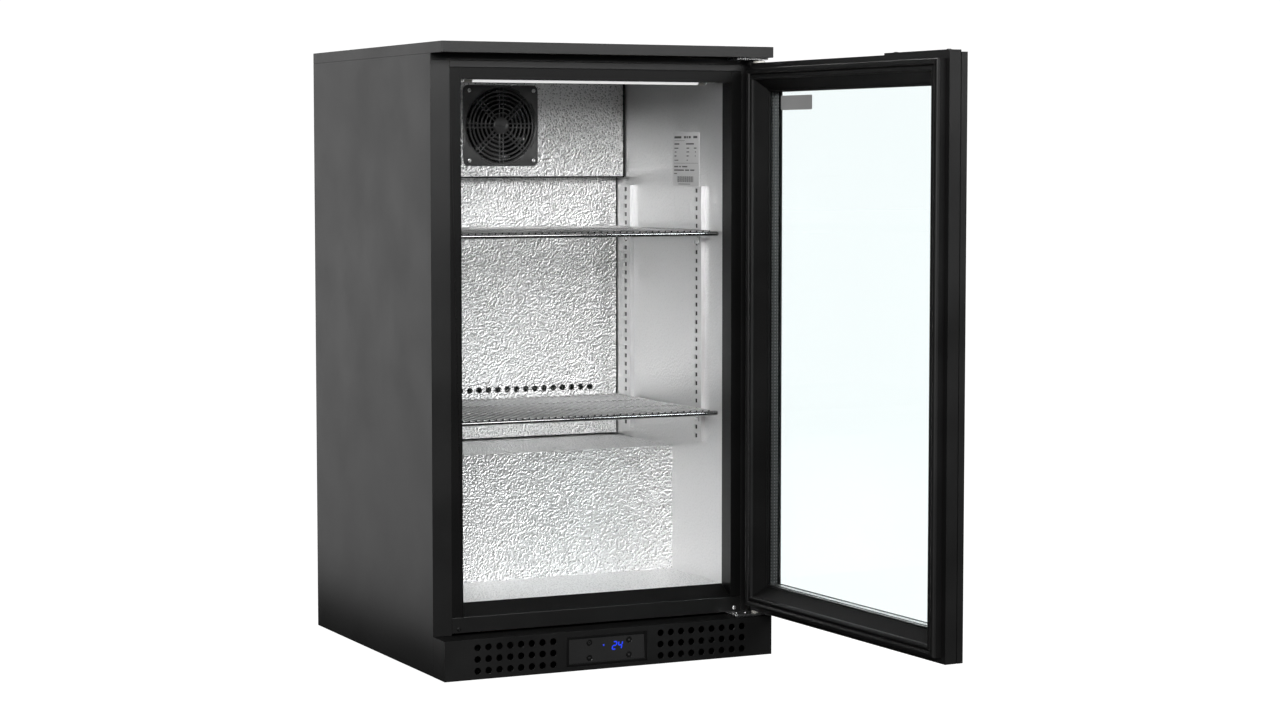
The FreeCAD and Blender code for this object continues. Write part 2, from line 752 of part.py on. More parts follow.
def fan_motor(label, at, size, throat, deep, shaft_long):
    """A square fan frame, with its motor held by four struts behind the blades."""
    x, y, z = at

    def block(half_wide, start, half_high):
        across = (f"{x} - {half_wide}", f"{x} + {half_wide}")
        up = (f"{z} - {half_high}", f"{z} + {half_high}")
        return box(across, (start, f"{y} + {deep}"), up)

    frame = cut(
        block(size / 2, y, size / 2),
        rod(throat, deep + 2, (x, f"{y} - 1", z), "y"),
    )
    strut_front = f"({y} + {deep} - 4)"
    struts = [block(throat + 2, strut_front, 3), block(3, strut_front, throat + 2)]
    motor = rod(17, 7, (x, f"{y} + {deep} - 7", z), "y")
    shaft = rod("shaft_radius", shaft_long + 1, (x, f"{y} + {deep} - 7 - {shaft_long}", z), "y")
    sub_part(fuse(frame, *struts, motor, shaft), label)


def evaporator_fan():
    """The circulation fan behind the guard."""
    start = "(cover_front + skin + gap)"
    fan_motor("evaporator_fan_motor", ("fan_x", start, "fan_z"), 119, 54, 25, 14)
    fan_blades(
        "evaporator_fan_blades", 17, 52, 7, 28, 13, ("fan_x", f"{start} + 4", "fan_z"), "shaft_bore"
    )


def finned_coil(label, x, y, z, fins, tube_rows, tube_columns, tube):
    """A fin-and-tube coil: plates on a pitch, with straight tubes through them."""
    (x0, x1), (y0, y1), (z0, z1) = x, y, z
    pitch = (x1 - x0 - 1) / (fins - 1)
    plates = [
        box((f"{x0 + i * pitch:.3f}", f"{x0 + i * pitch + 1:.3f}"), (y0, y1), (z0, z1))
        for i in range(fins)
    ]
    tubes = []
    for row in range(tube_rows):
        for column in range(tube_columns):
            y_at = y0 + (column + 0.5) * (y1 - y0) / tube_columns
            z_at = z0 + (row + 0.5) * (z1 - z0) / tube_rows
            tubes.append(rod(tube, x1 - x0 + 16, (x0 - 8, y_at, z_at), "x"))
    sub_part(fuse(*plates, *tubes), label)


def duct_panel():
    """The embossed panel in front of the rear air duct, with a row of air holes."""
    span = f"({INNER} - gap)"
    body = doc.addObject("PartDesign::Body", "duct")
    pad = body.newObject("PartDesign::Pad", "sheet")
    corners = (
        (f"-{span}", "duct_low"),
        (span, "duct_low"),
        (span, "cover_low - gap"),
        (f"-{span}", "cover_low - gap"),
    )
    pad.Profile = outline(body, "XZ_Plane", corners, "-duct_front")
    bind(pad, "Length", "skin")
    pad.Reversed = True
    body.Tip = pad
    punch(
        body,
        "XZ_Plane",
        "-duct_front + 1",
        ("duct_hole_left", "duct_hole_z"),
        "duct_hole_radius",
        "skin + 2",
        (("X_Axis", "duct_hole_pitch", 22),),
    )
    sub_part(body, "air_duct_panel")


def lamp():
    """The lamp: an aluminium channel on the ceiling and a half-round diffuser under it."""
    axis_z = "(ceiling_level - lamp_base)"
    channel = box(
        ("-lamp_half", "lamp_half"),
        ("lamp_y - lamp_radius - 1", "lamp_y + lamp_radius + 1"),
        (axis_z, "ceiling_level"),
    )
    sub_part(channel, "lamp_channel")
    round_bar = rod("lamp_radius", "2 * lamp_half", ("-lamp_half", "lamp_y", axis_z), "x")
    above = box(
        ("-lamp_half - 1", "lamp_half + 1"),
        ("lamp_y - lamp_radius - 1", "lamp_y + lamp_radius + 1"),
        (axis_z, f"{axis_z} + lamp_radius + 1"),
    )
    sub_part(cut(round_bar, above), "lamp_diffuser")


# ---------------------------------------------------------------- shelves and their supports


def support_strip(side, middle):
    """A slotted channel for the shelf clips, on one side wall."""
    body = doc.addObject("PartDesign::Body", "strip")
    wall_x = f"({side} * {INNER})"
    face_x = f"({side} * ({INNER} - strip_deep))"
    skin_x = f"({side} * ({INNER} - strip_deep + strip_sheet))"
    half = "(strip_wide / 2)"
    channel = (
        (wall_x, f"{middle} - {half}"),
        (face_x, f"{middle} - {half}"),
        (face_x, f"{middle} + {half}"),
        (wall_x, f"{middle} + {half}"),
        (wall_x, f"{middle} + {half} - strip_sheet"),
        (skin_x, f"{middle} + {half} - strip_sheet"),
        (skin_x, f"{middle} - {half} + strip_sheet"),
        (wall_x, f"{middle} - {half} + strip_sheet"),
    )
    pad = body.newObject("PartDesign::Pad", "channel")
    pad.Profile = outline(body, "XY_Plane", channel, "strip_low")
    bind(pad, "Length", "strip_high - strip_low")
    body.Tip = pad
    doc.recompute()
    before = body.Shape.Volume
    slot = (
        (f"{middle} + 1.2", "strip_low + 5"),
        (f"{middle} + 8.2", "strip_low + 5"),
        (f"{middle} + 8.2", "strip_low + 11"),
        (f"{middle} + 1.2", "strip_low + 11"),
    )
    pocket = body.newObject("PartDesign::Pocket", "slot")
    start = f"({face_x} - {side})" if side > 0 else f"({skin_x} - {side})"
    pocket.Profile = outline(body, "YZ_Plane", slot, start)
    bind(pocket, "Length", "strip_sheet + 2")
    pocket.Reversed = True
    body.Tip = pocket
    doc.recompute()
    if not body.Shape.Volume < before - 1:
        pocket.Reversed = False
        doc.recompute()
    if not body.Shape.Volume < before - 1:
        raise RuntimeError("a slot cut nothing")
    repeat_feature(body, pocket, (("Z_Axis", "strip_pitch", 29),))
    return body


def support_strips():
    """Four slotted strips, two on each side wall."""
    strips = [support_strip(side, y) for side in (-1, 1) for y in ("strip_front", "strip_back")]
    sub_part(group(*strips), "shelf_support_strips")


def shelf_clips():
    """Eight bent clips: a back plate on the strip and a tab that the shelf lies on."""
    clips = []
    for shelf in ("upper_shelf", "lower_shelf"):
        tab_top = f"({shelf} - stay_radius - 0.35)"
        for flip in (lambda low, high: (low, high), mirror_x):
            face = f"-{INNER} + strip_deep"
            for y in ("strip_front", "strip_back"):
                wide = (f"{y} - 6", f"{y} + 9")
                plate = box(flip(face, f"{face} + 1.4"), wide, (f"{tab_top} - 14", tab_top))
                tab = box(flip(face, f"{face} + 9"), wide, (f"{tab_top} - 1.6", tab_top))
                clips.append(fuse(plate, tab))
    sub_part(group(*clips), "shelf_clips")


def shelf(label, level):
    """A welded wire shelf: two thick rods, side and cross rods, and thin wires laid across them."""
    flat = "(2 * shelf_half - 2 * rod_radius)"
    end = "(shelf_half - rod_radius)"
    members = []
    for y in ("shelf_front", "shelf_back"):
        members.append(rod("rod_radius", flat, (f"-{end}", y, level), "x"))
        members.append(ball("rod_radius", (f"-{end}", y, level)))
        members.append(ball("rod_radius", (end, y, level)))
    run = "(shelf_back - shelf_front)"
    for side in (-1, 1):
        members.append(rod("stay_radius", run, (f"{side} * stay_x", "shelf_front", level), "y"))
    raised = f"({level} + rod_radius - stay_radius)"
    for share in (0.35, 0.68):
        y = f"shelf_front + {share} * {run}"
        members.append(rod("stay_radius", "2 * stay_x", ("-stay_x", y, raised), "x"))
    wire_level = f"({level} + rod_radius + 0.6 * wire_radius)"
    for step in range(-19, 20):
        members.append(
            rod("wire_radius", f"{run} + 2", (f"{step} * wire_pitch", "shelf_front - 1", wire_level), "y")
        )
    sub_part(fuse(*members), label)


# ---------------------------------------------------------------- hinges, fixings and labels


def hinge_brackets():
    """A plate and pin above the door and another below it; each has its foot behind the pin."""
    out = "(hinge_x + 9)"
    inn = "(hinge_x - 40)"
    deep = ("hinge_y - 10", f"{FACE} - gap")
    top_plate = box((inn, out), deep, (f"{SLAB} - bracket_thick", SLAB))
    top_pin = rod(
        "pin_radius",
        "pin_long + bracket_thick + 4",
        ("hinge_x", "hinge_y", f"{SLAB} - bracket_thick - pin_long - 4"),
    )
    sub_part(fuse(top_plate, top_pin), "hinge_bracket_top")
    bottom_plate = box((inn, out), deep, (PLINTH, f"{PLINTH} + bracket_thick"))
    bottom_pin = rod("pin_radius", "pin_long + bracket_thick", ("hinge_x", "hinge_y", PLINTH))
    sub_part(fuse(bottom_plate, bottom_pin), "hinge_bracket_bottom")


def screw(at, axis, toward):
    """A pan-headed screw head that stands on a face and points toward -1 or +1 along its axis."""
    start = list(at)
    index = "xyz".index(axis)
    if toward < 0:
        start[index] = f"{at[index]} - screw_head"
    return rod("screw_radius", "screw_head", tuple(start), axis)


def cabinet_screws():
    """The visible screws: cover, guard, duct panel, sill rail and hinge brackets."""
    heads = []
    for side in (-1, 1):
        for z in (712, 818):
            heads.append(screw((f"{side} * 198", "cover_front", z), "y", -1))
        heads.append(screw((f"{side} * 200", "duct_front", 669), "y", -1))
        heads.append(screw((f"{side} * 212", FACE, 73), "y", -1))
        for lift in (-1, 1):
            corner = (f"fan_x + {side} * 52", "cover_front - guard_thick", f"fan_z + {lift} * 52")
            heads.append(screw(corner, "y", -1))
    for x in ("hinge_x - 32", "hinge_x - 18"):
        heads.append(screw((x, "hinge_y + 4", f"{SLAB} - bracket_thick"), "z", -1))
        heads.append(screw((x, "hinge_y + 4", f"{PLINTH} + bracket_thick"), "z", 1))
    sub_part(group(*heads), "cabinet_screws")


def rating_plate():
    """The blank data label on the right-hand wall."""
    sub_part(box((f"{INNER} - 0.4", INNER), ("-111.5", "-27.5"), ("674", "752")), "rating_label")


# ---------------------------------------------------------------- the machine room


def compressor():
    """The hermetic compressor on its base plate, and its four rubber mounts."""
    x, y = -110, 130
    rubber = 12
    plate_low = f"({PAN} + {rubber})"
    profile = (
        ("0", "0"),
        ("58", "0"),
        ("70", "14"),
        ("70", "62"),
        ("73", "62"),
        ("73", "68"),
        ("70", "68"),
        ("70", "116"),
        ("62", "136"),
        ("42", "150"),
        ("0", "156"),
    )
    pot = turned_body(profile, (x, y, f"{plate_low} + 3"))
    plate = box((x - 90, x + 90), (y - 60, y + 60), (plate_low, f"{plate_low} + 3"))
    # the shell stands open underneath: its motor and pump aren't modelled
    hollow = rod(54, 120, (x, y, f"{plate_low} - 1"))
    sub_part(cut(fuse(pot, plate), hollow), "compressor")
    mounts = [
        rod(10, rubber, (x + dx, y + dy, PAN))
        for dx in (-78, 78)
        for dy in (-48, 48)
    ]
    sub_part(group(*mounts), "compressor_mounts")


def drip_tray():
    """The evaporating tray over the compressor."""
    low, high = 182.6, 208
    outer = box((-195, -25), (60, 200), (low, high))
    inner = box((-193, -27), (62, 198), (low + 2, high + 1))
    sub_part(cut(outer, inner), "drip_tray")


def condenser_unit():
    """The condenser coil with its shrouded fan in front."""
    x, z, side = 102, 81.6, 140
    across = (x - side / 2, x + side / 2)
    up = (z - side / 2, z + side / 2)
    finned_coil("condenser_coil", across, (196, 236), up, 18, 5, 2, 4.5)
    fan_motor("condenser_fan_motor", (x, 160, z), side, 62, 34, 16)
    fan_blades("condenser_fan_blades", 18, 59, 5, 26, 16, (x, 170, z), "shaft_bore")


def pipe(points, radius, bend):
    """A copper pipe: straight runs joined by tangent arcs."""
    corners = [V(*point) for point in points]
    edges, here = [], corners[0]
    for before, corner, after in zip(corners, corners[1:], corners[2:]):
        into = (corner - before).normalize()
        out = (after - corner).normalize()
        start, end = corner - into * bend, corner + out * bend
        middle = corner + (out - into) * bend * (1 - 1 / math.sqrt(2))
        edges.append(Part.LineSegment(here, start).toShape())
        edges.append(Part.Arc(start, middle, end).toShape())
        here = end
    edges.append(Part.LineSegment(here, corners[-1]).toShape())
    route = Part.Wire(edges)
    section = Part.Wire(Part.Circle(corners[0], corners[1] - corners[0], radius).toShape())
    copper = route.makePipeShell([section], True, False)
    item = doc.addObject("Part::Feature", "pipe")
    item.Shape = copper
    return item


def refrigerant_line():
    """The discharge pipe, the liquid pipe and the filter drier between them."""
    turn, coil, shell, drier_end = 0, 23.9, -39.9, -10.4
    out, top, low = 104, 137.6, 25.6
    discharge = pipe(
        (
            (shell, 130, out),
            (turn, 130, out),
            (turn, 130, top),
            (turn, 226, top),
            (coil, 226, top),
        ),
        3,
        14,
    )
    liquid = pipe(
        ((drier_end, 58, low), (turn, 58, low), (turn, 206, low), (coil, 206, low)), 3, 10
    )
    drier = rod(9, 60, (-70.5, 58, 25.6), "x")
    sub_part(group(discharge, liquid, drier), "refrigerant_line")


def electrical_box():
    """The terminal box at the front of the machine room."""
    shell = cut(box((60, 170), (40, 100), (PAN, 84)), box((62, 168), (42, 98), (f"{PAN} + 2", 85)))
    lid = box((58, 172), (38, 102), (84, 87))
    sub_part(fuse(shell, lid), "electrical_box")


def rear_grille():
    """The louvred cover of the machine room, with the hole for the cable gland."""
    span = f"({SIDE} - rear_flange - gap)"
    sheet_y = (COVER, f"{COVER} + skin")
    cover = box((f"-{span}", span), sheet_y, (f"{PAN} + gap", "room_top - skin - gap"))
    slots = [
        box((x, x + 90), (f"{COVER} - 1", f"{COVER} + 2"), (z, z + 5))
        for x in (-150, -45, 60)
        for z in range(60, 231, 14)
    ]
    hole = rod("gland_radius + gap", 4, ("gland_x", f"{COVER} - 1", "gland_z"), "y")
    sub_part(cut(cover, *slots, hole), "rear_grille")


def cable_gland():
    """The moulded gland for the supply cable, empty."""
    start = f"({COVER} - gland_inside)"
    body = rod("gland_radius", "gland_long", ("gland_x", start, "gland_z"), "y")
    collar = rod("gland_radius + 3", 6, ("gland_x", f"{COVER} + skin + gap", "gland_z"), "y")
    bore = rod("gland_bore", "2 * gland_long", ("gland_x", f"{start} - 1", "gland_z"), "y")
    sub_part(cut(fuse(body, collar), bore), "cable_gland")


# ---------------------------------------------------------------- the door, built shut


def ring(edge_out, edge_in, y):
    """A rectangular ring measured in from the door's edge."""

    def block(edge, span):
        across = (f"-door_half + ({edge})", f"door_half - ({edge})")
        return box(across, span, (f"door_low + ({edge})", f"door_high - ({edge})"))

    return cut(block(edge_out, y), block(edge_in, (f"{y[0]} - 1", f"{y[1]} + 1")))


def mitre(side):
    """The wedge of space that one of the four door profiles is cut to."""
    reach = "(door_rail + 2)"
    outside = {
        (-1, -1): ("(-door_half)", "door_low"),
        (1, -1): ("door_half", "door_low"),
        (1, 1): ("door_half", "door_high"),
        (-1, 1): ("(-door_half)", "door_high"),
    }

    def inside(corner):
        x, z = outside[corner]
        return (f"{x} - {corner[0]} * {reach}", f"{z} - {corner[1]} * {reach}")

    ends = {
        "left": ((-1, 1), (-1, -1)),
        "right": ((1, -1), (1, 1)),
        "bottom": ((-1, -1), (1, -1)),
        "top": ((1, 1), (-1, 1)),
    }
    first, last = ends[side]
    points = (outside[first], outside[last], inside(last), inside(first))
    return prism("XZ_Plane", points, "depth / 2 - door_deep - 1", "door_deep + 2")


def door_frame():
    """Four mitred hollow profiles with a lip over the glass and a groove round the edge."""
    back = f"({FRONT} + door_deep)"
    hollow = ring("0", "door_box", (FRONT, back))
    cavity = ring("door_sheet", "door_box - door_sheet", (f"{FRONT} + door_sheet", f"{back} - door_sheet"))
    lip = ring("door_box - door_sheet", "door_rail", (FRONT, f"{FRONT} + door_sheet"))
    line = (f"{FRONT} + groove_y", f"{FRONT} + groove_y + groove")
    groove = ring("-1", "groove", line)
    bushes = [
        rod("bush_radius + gap", "bush_long + 2", ("hinge_x", "hinge_y", z))
        for z in ("door_low - 1", "door_high - bush_long - 1")
    ]
    whole = cut(fuse(hollow, lip), cavity, groove, *bushes)
    sides = [common(whole, mitre(side)) for side in ("left", "right", "bottom", "top")]
    sub_part(on_door(group(*sides)), "door_frame")


def inner_frame():
    """The moulded frame that clamps the glass: a flat ring for the gasket and a bevel to the pane."""
    back = f"({FRONT} + door_deep)"
    seat = f"({FRONT} + seal_low)"
    flat = ring("seal_edge", "door_rail", (f"{back} + gap", seat))
    bevel = doc.addObject("Part::Wedge", "bevel")
    # the wedge narrows from the gasket's inner edge to the edge of the visible glass
    wide_x, narrow_x = "(door_half - seal_edge - seal_wide)", "(door_half - door_rail)"
    wide_z = ("(door_low + seal_edge + seal_wide)", "(door_high - seal_edge - seal_wide)")
    narrow_z = ("(door_low + door_rail)", "(door_high - door_rail)")
    pane = f"({FRONT} + glass_inner + glass_thick + gap)"
    for prop, formula in (
        ("Xmin", f"-{narrow_x}"),
        ("Xmax", narrow_x),
        ("Zmin", narrow_z[0]),
        ("Zmax", narrow_z[1]),
        ("X2min", f"-{wide_x}"),
        ("X2max", wide_x),
        ("Z2min", wide_z[0]),
        ("Z2max", wide_z[1]),
        ("Ymin", pane),
        ("Ymax", seat),
    ):
        bind(bevel, prop, formula)
    stop = ring("door_box + gap", "door_rail", (pane, f"{back} + gap"))
    sub_part(on_door(cut(fuse(flat, stop), bevel)), "door_inner_frame")


def gasket():
    """The magnetic gasket: a base strip with a raised bellows."""
    seat = f"({FRONT} + seal_low)"
    base = ring("seal_edge", "seal_edge + seal_wide", (seat, f"{seat} + 2"))
    bellows = ring("seal_edge + 2", "seal_edge + seal_wide - 4", (f"{seat} + 2", f"{FRONT} + seal_high"))
    sub_part(on_door(fuse(base, bellows)), "door_gasket")


def glazing():
    """Two panes and the perforated spacer between them."""
    edge_x = ("-door_half + glass_inset", "door_half - glass_inset")
    edge_z = ("door_low + glass_inset", "door_high - glass_inset")
    panes = [
        box(edge_x, (f"{FRONT} + {start}", f"{FRONT} + {start} + glass_thick"), edge_z)
        for start in ("glass_outer", "glass_inner")
    ]
    sub_part(on_door(group(*panes)), "door_glass")
    between = (f"{FRONT} + glass_outer + glass_thick", f"{FRONT} + glass_inner")
    sub_part(on_door(ring("glass_inset + 7", "door_rail", between)), "glass_spacer")


def hinge_bushes():
    """The nylon bushes pressed into the door, with flanges that run on the brackets."""
    bushes = []
    for end, out in (("door_low", -1), ("door_high", 1)):
        start = end if out < 0 else f"({end} - bush_long)"
        sleeve = rod("bush_radius", "bush_long", ("hinge_x", "hinge_y", start))
        edge = f"({end} - bush_flange)" if out < 0 else end
        collar = rod("bush_radius + 2.5", "bush_flange", ("hinge_x", "hinge_y", edge))
        bore = rod(
            "pin_bore",
            "bush_long + 2 * bush_flange + 2",
            ("hinge_x", "hinge_y", f"{start} - bush_flange - 1"),
        )
        bushes.append(cut(fuse(sleeve, collar), bore))
    sub_part(on_door(group(*bushes)), "hinge_bushes")


def door_top_plate():
    """The cover plate over the spare hinge hole, with its two screws."""
    plate = box(
        ("-door_half + 8", "-door_half + 158"),
        (f"{FRONT} + 4", f"{FRONT} + 23"),
        ("door_high", "door_high + 3"),
    )
    heads = [
        screw((x, f"{FRONT} + 13.5", "door_high + 3"), "z", 1)
        for x in ("-door_half + 22", "-door_half + 144")
    ]
    sub_part(on_door(group(plate, *heads)), "door_top_plate")


def build():
    """Make every sub-part."""
    top_cover()
    outer_side("outer_side_left", False)
    outer_side("outer_side_right", True)
    rear_panel()
    front_rails()
    base_pan()
    for front_or_back, y in (("front", "foot_front"), ("rear", "foot_back")):
        foot(f"foot_{front_or_back}_left", -1, y)
        foot(f"foot_{front_or_back}_right", 1, y)
    machine_bulkhead()
    insulation()
    liner()
    opening_frame()
    plinth_grille()
    controller()
    evaporator_cover()
    fan_guard()
    evaporator_fan()
    finned_coil("evaporator_coil", (-170, 170), (172, 212), (702, 812), 22, 4, 2, 4)
    duct_panel()
    lamp()
    support_strips()
    shelf_clips()
    shelf("shelf_upper", "upper_shelf")
    shelf("shelf_lower", "lower_shelf")
    hinge_brackets()
    cabinet_screws()
    rating_plate()
    compressor()
    drip_tray()
    condenser_unit()
    refrigerant_line()
    electrical_box()
    rear_grille()
    cable_gland()
    door_frame()
    inner_frame()
    gasket()
    glazing()
    hinge_bushes()
    door_top_plate()


def check():
    """Stop if any object failed, or any sub-part has no sound shape."""
    doc.recompute()
    for item in doc.Objects:
        if {"Invalid", "Error"} & set(item.State):
            raise RuntimeError(f"{item.Name} failed: {item.State}")
    for item in parts:
        if item.Shape.isNull() or not item.Shape.isValid() or not item.Shape.Solids:
            raise RuntimeError(f"{item.Label} has no sound solid")


def write():
    """Write each sub-part to its own STEP file."""
    os.makedirs("parts", exist_ok=True)
    for item in parts:
        item.Shape.exportStep(f"parts/{item.Label}.step")
        solids = len(item.Shape.Solids)
        print(f"{item.Label}: {solids} solid(s), {item.Shape.Volume / 1000:.1f} cm3")


build()
check()
write()
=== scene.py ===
"""The looks of an undercounter refrigerator with one glass door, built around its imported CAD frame.

Lengths are in metres, in the frame's own axes: +Z up, the door side toward -Y, the floor at Z 0.
"""

import json
import math

import bmesh
import bpy
from mathutils import Matrix, Vector

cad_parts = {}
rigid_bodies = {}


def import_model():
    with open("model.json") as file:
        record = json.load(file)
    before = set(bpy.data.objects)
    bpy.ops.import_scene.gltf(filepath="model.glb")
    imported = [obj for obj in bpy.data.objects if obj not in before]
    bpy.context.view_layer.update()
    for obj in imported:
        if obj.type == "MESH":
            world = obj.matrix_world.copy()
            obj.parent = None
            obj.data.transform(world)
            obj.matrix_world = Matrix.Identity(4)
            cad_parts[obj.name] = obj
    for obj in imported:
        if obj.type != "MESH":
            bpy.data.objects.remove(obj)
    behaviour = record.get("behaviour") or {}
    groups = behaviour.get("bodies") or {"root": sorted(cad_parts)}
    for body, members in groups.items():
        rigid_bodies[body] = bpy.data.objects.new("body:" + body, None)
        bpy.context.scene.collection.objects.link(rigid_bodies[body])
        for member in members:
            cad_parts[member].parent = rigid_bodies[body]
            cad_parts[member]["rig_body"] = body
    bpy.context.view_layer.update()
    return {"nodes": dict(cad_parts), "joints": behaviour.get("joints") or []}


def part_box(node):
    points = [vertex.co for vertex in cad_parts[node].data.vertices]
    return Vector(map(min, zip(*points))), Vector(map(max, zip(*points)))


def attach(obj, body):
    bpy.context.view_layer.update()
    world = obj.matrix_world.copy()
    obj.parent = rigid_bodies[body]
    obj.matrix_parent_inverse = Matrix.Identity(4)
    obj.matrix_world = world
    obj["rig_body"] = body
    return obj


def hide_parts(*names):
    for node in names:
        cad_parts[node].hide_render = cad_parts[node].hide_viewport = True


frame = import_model()
NODES = frame["nodes"]
MM = 0.001


# ---------------------------------------------------------------- materials


class Shader:
    """One procedural material on the Principled shader, with short calls for its nodes."""

    def __init__(self, name, metallic=0.0, specular=0.5, coat=0.0):
        self.material = bpy.data.materials.new(name)
        self.material.use_nodes = True
        self.tree = self.material.node_tree
        self.principled = self.tree.nodes["Principled BSDF"]
        self.set("Metallic", metallic)
        self.set("Specular IOR Level", specular)
        self.set("Coat Weight", coat)
        self.set("Coat Roughness", 0.1)
        self.place = self.node("ShaderNodeTexCoord").outputs["Object"]

    def set(self, socket, value):
        """Gives a socket of the Principled shader a constant value."""
        self.principled.inputs[socket].default_value = value

    def node(self, kind, **settings):
        """Adds a node of a kind, with its settings."""
        made = self.tree.nodes.new(kind)
        for key, value in settings.items():
            setattr(made, key, value)
        return made

    def link(self, source, target):
        """Joins an output to an input."""
        self.tree.links.new(source, target)

    def feed(self, source, socket):
        """Joins an output to a socket of the Principled shader."""
        self.link(source, self.principled.inputs[socket])

    def noise(self, size, detail=2.0, stretch=(1, 1, 1)):
        """A noise whose features are about size across; stretch draws it out along an axis."""
        placed = self.node("ShaderNodeMapping")
        placed.inputs["Scale"].default_value = tuple(1 / (size * s) for s in stretch)
        self.link(self.place, placed.inputs["Vector"])
        made = self.node("ShaderNodeTexNoise")
        made.inputs["Scale"].default_value = 1.0
        made.inputs["Detail"].default_value = detail
        self.link(placed.outputs["Vector"], made.inputs["Vector"])
        return made.outputs["Fac"]

    def cells(self, size, place=None, smooth=0.0, random=1.0):
        """Cells about size across; smooth rounds them, and random 0 sets them on a grid."""
        made = self.node("ShaderNodeTexVoronoi", feature="SMOOTH_F1" if smooth else "F1")
        made.inputs["Scale"].default_value = 1 / size
        made.inputs["Randomness"].default_value = random
        if smooth:
            made.inputs["Smoothness"].default_value = smooth
        self.link(place or self.place, made.inputs["Vector"])
        return made

    def span(self, source, low, high, start=0.3, end=0.7):
        """Source, from start to end, turned into low to high."""
        made = self.node("ShaderNodeMapRange")
        made.inputs["From Min"].default_value = start
        made.inputs["From Max"].default_value = end
        made.inputs["To Min"].default_value = low
        made.inputs["To Max"].default_value = high
        self.link(source, made.inputs["Value"])
        return made.outputs["Result"]

    def tones(self, source, first, second, start=0.3, end=0.7):
        """A colour from first to second as source goes from start to end."""
        made = self.node("ShaderNodeValToRGB")
        for stop, at, colour in zip(made.color_ramp.elements, (start, end), (first, second)):
            stop.position = at
            stop.color = (*colour, 1.0)
        self.link(source, made.inputs["Fac"])
        return made.outputs["Color"]

    def math(self, operation, first, second):
        """One sum of two values, each a number or an output."""
        made = self.node("ShaderNodeMath", operation=operation)
        for index, value in enumerate((first, second)):
            if isinstance(value, (int, float)):
                made.inputs[index].default_value = value
            else:
                self.link(value, made.inputs[index])
        return made.outputs["Value"]

    def bump(self, source, height):
        """Relief of the given height in metres."""
        made = self.node("ShaderNodeBump")
        made.inputs["Distance"].default_value = height
        self.link(source, made.inputs["Height"])
        return made.outputs["Normal"]


def grey(level):
    """A grey of one level, as a colour."""
    return (level, level, level)


def plain_finish(name, dark, light, roughness, grain, height, patch=90, **options):
    """Colour and gloss wander slowly from dark to light, under a fine grain with real height.

    dark and light are grey levels or colours. The sizes of grain, height and patch are in mm.
    """
    shader = Shader(name, **options)
    slow = shader.noise(patch * MM, 3.0)
    first, second = (grey(tone) if isinstance(tone, float) else tone for tone in (dark, light))
    shader.feed(shader.tones(slow, first, second), "Base Color")
    shader.feed(shader.span(slow, *roughness), "Roughness")
    shader.feed(shader.bump(shader.noise(grain * MM), height * MM), "Normal")
    return shader.material


def stucco(name, cell, height, tone, hollow_shade, roughness):
    """Embossed aluminium: rounded blisters of uneven size, with painted shade darkening the dips
    between them.

    cell is the size of a blister and height its relief. hollow_shade is the share of the tone that
    the painted shade leaves in the dips.
    """
    shader = Shader(name, metallic=0.9)
    warp = shader.node("ShaderNodeTexNoise")
    warp.inputs["Scale"].default_value = 0.6 / cell
    shader.link(shader.place, warp.inputs["Vector"])
    # the cells' own places wander by most of a cell, so that no two blisters are alike
    wander = shader.node("ShaderNodeVectorMath", operation="MULTIPLY_ADD")
    shader.link(warp.outputs["Color"], wander.inputs[0])
    wander.inputs[1].default_value = (cell * 0.9,) * 3
    shader.link(shader.place, wander.inputs[2])
    blister = shader.cells(cell, wander.outputs["Vector"], smooth=0.5).outputs["Distance"]
    fine = shader.noise(cell * 0.3)
    relief = shader.math("ADD", blister, shader.math("MULTIPLY", fine, 0.25))
    slow = shader.noise(120 * MM)
    # painted shade: the colour darkens in the dips between blisters, standing in for the shade that
    # the relief casts
    shader.feed(shader.tones(relief, grey(tone * hollow_shade), grey(tone), 0.22, 0.52), "Base Color")
    shader.feed(shader.span(slow, *roughness), "Roughness")
    shader.feed(shader.bump(relief, height), "Normal")
    return shader.material


def brushed(name, tone, roughness, metallic):
    """Drawn or rolled metal with fine upright streaks."""
    shader = Shader(name, metallic=metallic)
    streak = shader.noise(0.9 * MM, 3.0, stretch=(1, 1, 30))
    shader.feed(shader.tones(streak, grey(tone * 0.86), grey(tone)), "Base Color")
    shader.feed(shader.span(streak, *roughness), "Roughness")
    shader.feed(shader.bump(streak, 0.02 * MM), "Normal")
    return shader.material


def galvanised(name):
    """Zinc-coated sheet with its faint crystal pattern."""
    shader = Shader(name, metallic=0.85)
    split = shader.node("ShaderNodeSeparateColor")
    shader.link(shader.cells(9 * MM).outputs["Color"], split.inputs["Color"])
    tone = split.outputs["Red"]
    shader.feed(shader.tones(tone, grey(0.47), grey(0.54), 0.0, 1.0), "Base Color")
    shader.feed(shader.span(tone, 0.34, 0.52, 0.0, 1.0), "Roughness")
    shader.feed(shader.bump(shader.noise(4 * MM, 3.0), 0.03 * MM), "Normal")
    return shader.material


